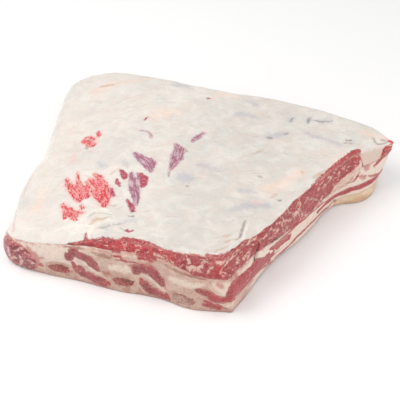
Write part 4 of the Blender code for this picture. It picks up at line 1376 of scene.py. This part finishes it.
def inlay(name, section, start, end, around, hull, hull_tree, bulge, edge):
    """A tube trimmed by the slab; its cut ends stand bulge mm proud and fall away to their outline."""
    piece = tube(name, around, INLAY_RINGS)
    shape_tube(piece, section, start, end, around)
    tube_tree = surface_tree(piece)
    trim(piece, hull)
    points = points_of(piece)
    out = np.zeros((len(points), 3))
    reach = np.zeros(len(points))
    for index, point in enumerate(points):
        near, normal, _, gap = hull_tree.find_nearest(Vector(point))
        if near is None or gap > 0.05:
            continue
        reach[index] = tube_tree.find_nearest(Vector(point))[3]
        proud = 0.12 + bulge * (1 - math.exp(-((reach[index] / edge) ** 2)))
        if normal.z < -0.5:
            proud *= -0.4
        out[index] = (proud * normal.x, proud * normal.y, proud * normal.z)
    size = np.linalg.norm(out, axis=1, keepdims=True)
    way = out / np.maximum(size, 1e-6)
    relief = lumps(points) + 0.3 * grain(points, 3, 2, 12) * (reach > 0.3)
    cut = (np.abs(way[:, 2:]) < 0.6) & (size > 0)
    points += out + way * relief[:, None] * cut
    points[:, 2] = np.maximum(points[:, 2], 0.0)
    place_points(piece, points)
    run = wall_run(points)
    mark_way(piece, "way", run, points[:, 2], points[:, 1] * 0.2)
    mark(piece, "edge", 1.0 - reach)
    return piece, points, run


def band_material(base):
    """Lean muscle between the ribs: muted red, finely grained, a little fat through it."""
    return tissue(
        "raw_rib_muscle", base, "#863539",
        (
            patches(5, "#B05B5C", 0.54, 0.1, 0.7),
            cells(2.4, "#B8726F", 0.13, 0.35),
            patches(2.8, "#6B2329", 0.57, 0.06, 0.6),
            field("fresh", "#AE3A40", 6.0, 4.0, 0.6),
            patches(3.0, "#CF9A92", 0.635, 0.04, 0.7, warp=1.3),
            field("edge", "#BC8076", 2.2, 0.8, 0.7),
        ),
        0.36, 0.42, ((2.8, 0.8, 0), (1.0, 0.3, 0)), 0.08, 9.0,
    )


def end_meat_material(base):
    """The left end's muscle, coarsely marbled."""
    return tissue(
        "raw_marbled_muscle", base, "#8E3B42",
        (
            patches(6, "#B66066", 0.54, 0.08, 0.7),
            patches(3.4, "#752831", 0.56, 0.05, 0.65),
            patches(3.2, "#D8A8A0", 0.59, 0.04, 0.85, warp=1.4),
            field("dark", "#782931", 1.4, 0.7, 0.75),
            field("pale", "#DDB9AD", 2.4, 0.7, 0.85, cut=(1.5, 2.0, 0.44, 0.1)),
            field("edge", "#C0857E", 2.2, 0.8, 0.7),
        ),
        0.34, 0.45, ((3.0, 0.8, 0), (1.1, 0.35, 0)), 0.08, 9.0,
    )


def bone_material(base):
    """Sawn hard bone, pale with a pink stain."""
    return tissue(
        "sawn_rib_bone", base, "#B58E80",
        (
            patches(5.0, "#D0B5A5", 0.54, 0.1, 0.6),
            patches(2.4, "#A37468", 0.57, 0.08, 0.5),
            field("edge", "#C9AA9B", 1.8, 1.2, 0.6),
        ),
        0.46, 0.22, ((2.4, 0.4, 0), (0.8, 0.14, 0)), 0.08, 8.0,
    )


def tip_bone_material(base):
    """The fourth rib's end: cream bone, darker tan towards its lower edge."""
    return tissue(
        "cream_rib_tip", base, "#D2B798",
        (
            field("brown", "#B48A66", 2.5, 3.0, 0.8),
            patches(5.0, "#CDA98A", 0.56, 0.1, 0.5),
            field("edge", "#C99F86", 1.6, 1.0, 0.45),
        ),
        0.42, 0.3, ((3.0, 0.3, 0), (0.9, 0.12, 0)), 0.1, 12.0,
    )


def marrow_material(base):
    """Spongy bone at the saw cut: red-brown with open pores, darker along its top."""
    return tissue(
        "red_spongy_bone", base, "#954640",
        (
            field("fade", "#AC8275", 3.0, 3.0, 0.8),
            field("edge", "#B18477", 4.0, 1.4, 0.85),
            field("dark", "#72352E", 2.4, 1.2, 0.55),
            field("pale", "#BE9E8F", 2.0, 1.6, 0.8),
            patches(1.4, "#54201B", 0.57, 0.06, 0.6),
            patches(1.2, "#CB9C8C", 0.58, 0.05, 0.6),
        ),
        0.48, 0.28, ((1.3, 0.6, 0),), 0.05, 6.0,
    )


class ShortRibSizes(bpy.types.PropertyGroup):
    """Sizes of the slab's surface."""

    relief: FloatProperty(
        name="Relief", description="How strongly lumps, flaps and dents show", default=1.0, min=0.0, max=2.0
    )
    muscle_bulge: FloatProperty(
        name="Muscle bulge", description="How far cut muscle stands proud of the fat", default=0.0008,
        subtype="DISTANCE", unit="LENGTH",
    )
    bone_bulge: FloatProperty(
        name="Bone bulge", description="How far sawn bone stands proud of the fat", default=0.0003,
        subtype="DISTANCE", unit="LENGTH",
    )
    outline_points: IntProperty(
        name="Outline points", description="Points round each rib and muscle", default=72, min=24, max=200
    )


def colour_property(name, description, default):
    """A colour the user can change."""
    return FloatVectorProperty(name=name, description=description, subtype="COLOR", size=3, default=default)


class ShortRibColours(bpy.types.PropertyGroup):
    """Base colours of the tissues, and the colours of the stage."""

    cap_fat: colour_property("Cap fat", "Firm white fat over the top", to_linear("#E9E1D9")[:3])
    seam_fat: colour_property("Seam fat", "Pinkish fat and skin round the ribs", to_linear("#CDB1A2")[:3])
    upper_muscle: colour_property("Upper muscle", "Marbled muscle under the cap", to_linear("#98393D")[:3])
    rib_muscle: colour_property("Rib muscle", "Lean muscle between the ribs", to_linear("#9C4448")[:3])
    end_meat: colour_property("Left end's muscle", "Coarsely marbled muscle", to_linear("#A54C52")[:3])
    rib_bone: colour_property("Rib bone", "Sawn hard bone", to_linear("#C4A394")[:3])
    tip_bone: colour_property("Fourth rib", "Cream bone at the far right", to_linear("#E0CBB2")[:3])
    marrow: colour_property("Marrow", "Red spongy bone at the saw cut", to_linear("#A9524C")[:3])
    floor: colour_property("Floor", "Colour of the plain floor", (0.96, 0.96, 0.96))
    light: colour_property("Light", "Colour of the soft light", (1.0, 0.99, 0.97))


class SHORTRIBS_OT_cap(bpy.types.Operator):
    """Make the fat cap with the muscle that shows through it"""

    bl_idname = "shortribs.cap"
    bl_label = "Fat cap"

    def execute(self, context):
        make_cap(context.scene.short_rib_sizes, context.scene.short_rib_colours)
        return {"FINISHED"}


class SHORTRIBS_OT_seam(bpy.types.Operator):
    """Make the seam fat round the ribs"""

    bl_idname = "shortribs.seam"
    bl_label = "Seam fat"

    def execute(self, context):
        make_seam(context.scene.short_rib_sizes, context.scene.short_rib_colours)
        return {"FINISHED"}


class SHORTRIBS_OT_upper_muscle(bpy.types.Operator):
    """Make the marbled upper muscle"""

    bl_idname = "shortribs.upper_muscle"
    bl_label = "Upper muscle"

    def execute(self, context):
        make_upper_muscle(context.scene.short_rib_sizes, context.scene.short_rib_colours)
        return {"FINISHED"}


class SHORTRIBS_OT_inlays(bpy.types.Operator):
    """Make the ribs, their marrow and the muscles between them"""

    bl_idname = "shortribs.inlays"
    bl_label = "Ribs and rib muscles"

    def execute(self, context):
        sizes = context.scene.short_rib_sizes
        colours = context.scene.short_rib_colours
        around = sizes.outline_points
        hull = block("trim_hull", 80, 64, 8, 2, ())
        shape_block(hull, lower_place)
        hull_tree = surface_tree(hull)
        meat = sizes.muscle_bulge / MM
        hard = sizes.bone_bulge / MM
        muscle = band_material(colours.rib_muscle)
        bone = bone_material(colours.rib_bone)
        marrow = marrow_material(colours.marrow)
        jobs = []
        for name, (path, half, end, fall, base) in BANDS.items():
            drift = CORNER_DRIFT if name == "intercostal_c_upper" else 0.0
            section = band_outline(path, half, end, fall, base, drift, -OUTSIDE, around)
            jobs.append((name, section, -OUTSIDE, end, meat, "rib_muscle", muscle))
        tip = band_outline(TIP_BAND_PATH, TIP_BAND_HALF, THROUGH, 0.0, 0.0, 0.0, TIP_BAND_START, around)
        jobs.append(("intercostal_d", tip, TIP_BAND_START, THROUGH, meat, "rib_muscle", muscle))
        end_meat = end_meat_outline(around)
        marbled = end_meat_material(colours.end_meat)
        jobs.append(("end_meat", end_meat, -OUTSIDE, END_MEAT_LENGTH, 1.3 * meat, "marbled_muscle", marbled))
        for number, rib in enumerate(RIBS, 1):
            outline = rib_outline(rib, around)
            jobs.append((f"rib_bone_{number}", outline, -OUTSIDE, THROUGH, hard, "bone", bone))
            core = marrow_outline(rib, around)
            jobs.append((f"rib_marrow_{number}", core, -OUTSIDE, THROUGH, hard + 0.3, "marrow", marrow))
        outline = rib_outline(TIP_RIB, around)
        tip_bone = tip_bone_material(colours.tip_bone)
        jobs.append(("rib_bone_4", outline, TIP_RIB_START, THROUGH, hard, "bone", tip_bone))
        for name, section, start, end, bulge, slot, material in jobs:
            piece, points, run = inlay(
                f"{name}_cut", section, start, end, around, hull, hull_tree, bulge, INLAY_EDGE
            )
            dark, pale = (MEAT_DARK, MEAT_PALE) if name == "end_meat" else (CORE_DARK, CORE_PALE)
            mark_strokes(piece, run, points[:, 2], {"dark": dark, "pale": pale})
            mark(piece, "fade", np.full(len(points), 3.0 if name == "rib_marrow_3" else NOT_HERE))
            mark(piece, "fresh", np.clip(run + 18, -9, 9))
            mark(piece, "brown", 5.5 - points[:, 2] - np.abs(run - 184) * 0.25)
            finish_piece(piece, (name,), material)
        bpy.data.objects.remove(hull, do_unlink=True)
        return {"FINISHED"}


class SHORTRIBS_OT_stage(bpy.types.Operator):
    """Make the pale floor, the soft light and the camera"""

    bl_idname = "shortribs.stage"
    bl_label = "Stage"

    def execute(self, context):
        colours = context.scene.short_rib_colours
        deselect()
        bpy.ops.mesh.primitive_plane_add(size=FLOOR_SIZE, location=(0, 0, -FLOOR_DROP))
        floor = context.object
        floor.name = "floor"
        paper = bpy.data.materials.new("white_paper_floor")
        paper.use_nodes = True
        shader = paper.node_tree.nodes["Principled BSDF"]
        shader.inputs["Base Color"].default_value = (*colours.floor, 1)
        shader.inputs["Roughness"].default_value = 0.9
        floor.data.materials.append(paper)
        world = bpy.data.worlds.new("studio")
        world.use_nodes = True
        world.node_tree.nodes["Background"].inputs["Color"].default_value = (1, 1, 1, 1)
        world.node_tree.nodes["Background"].inputs["Strength"].default_value = SKY_STRENGTH
        context.scene.world = world
        for name, place, size, power in LAMPS:
            bpy.ops.object.light_add(type="AREA", location=place)
            lamp = context.object
            lamp.name = name
            lamp.data.size = size
            lamp.data.energy = power
            lamp.data.color = colours.light
            lamp.rotation_euler = (-Vector(place)).to_track_quat("-Z", "Y").to_euler()
        turn = math.radians(CAMERA_TURN)
        tilt = math.radians(CAMERA_TILT)
        back = Vector((math.sin(turn) * math.cos(tilt), -math.cos(turn) * math.cos(tilt), math.sin(tilt)))
        bpy.ops.object.camera_add(location=Vector(CAMERA_TARGET) + back * CAMERA_DISTANCE)
        camera = context.object
        camera.rotation_euler = back.to_track_quat("Z", "Y").to_euler()
        camera.data.lens = CAMERA_LENS
        camera.data.sensor_width = CAMERA_SENSOR
        camera.data.shift_y = CAMERA_SHIFT
        context.scene.camera = camera
        context.scene.view_settings.view_transform = "Standard"
        return {"FINISHED"}


class SHORTRIBS_PT_panel(bpy.types.Panel):
    """Sidebar panel that builds the slab piece by piece"""

    bl_label = "Short ribs"
    bl_idname = "SHORTRIBS_PT_panel"
    bl_space_type = "VIEW_3D"
    bl_region_type = "UI"
    bl_category = "Short ribs"

    def draw(self, context):
        for group in (context.scene.short_rib_sizes, context.scene.short_rib_colours):
            for name in group.__annotations__:
                self.layout.prop(group, name)
        for operator in OPERATORS:
            self.layout.operator(operator.bl_idname)


OPERATORS = (
    SHORTRIBS_OT_cap,
    SHORTRIBS_OT_upper_muscle,
    SHORTRIBS_OT_seam,
    SHORTRIBS_OT_inlays,
    SHORTRIBS_OT_stage,
)
CLASSES = (ShortRibSizes, ShortRibColours, *OPERATORS, SHORTRIBS_PT_panel)


def register():
    for item in CLASSES:
        bpy.utils.register_class(item)
    bpy.types.Scene.short_rib_sizes = PointerProperty(type=ShortRibSizes)
    bpy.types.Scene.short_rib_colours = PointerProperty(type=ShortRibColours)


def unregister():
    del bpy.types.Scene.short_rib_colours
    del bpy.types.Scene.short_rib_sizes
    for item in reversed(CLASSES):
        bpy.utils.unregister_class(item)


def main():
    register()
    bpy.ops.shortribs.cap()
    bpy.ops.shortribs.upper_muscle()
    bpy.ops.shortribs.seam()
    bpy.ops.shortribs.inlays()
    bpy.ops.shortribs.stage()


if __name__ == "__main__":
    main()
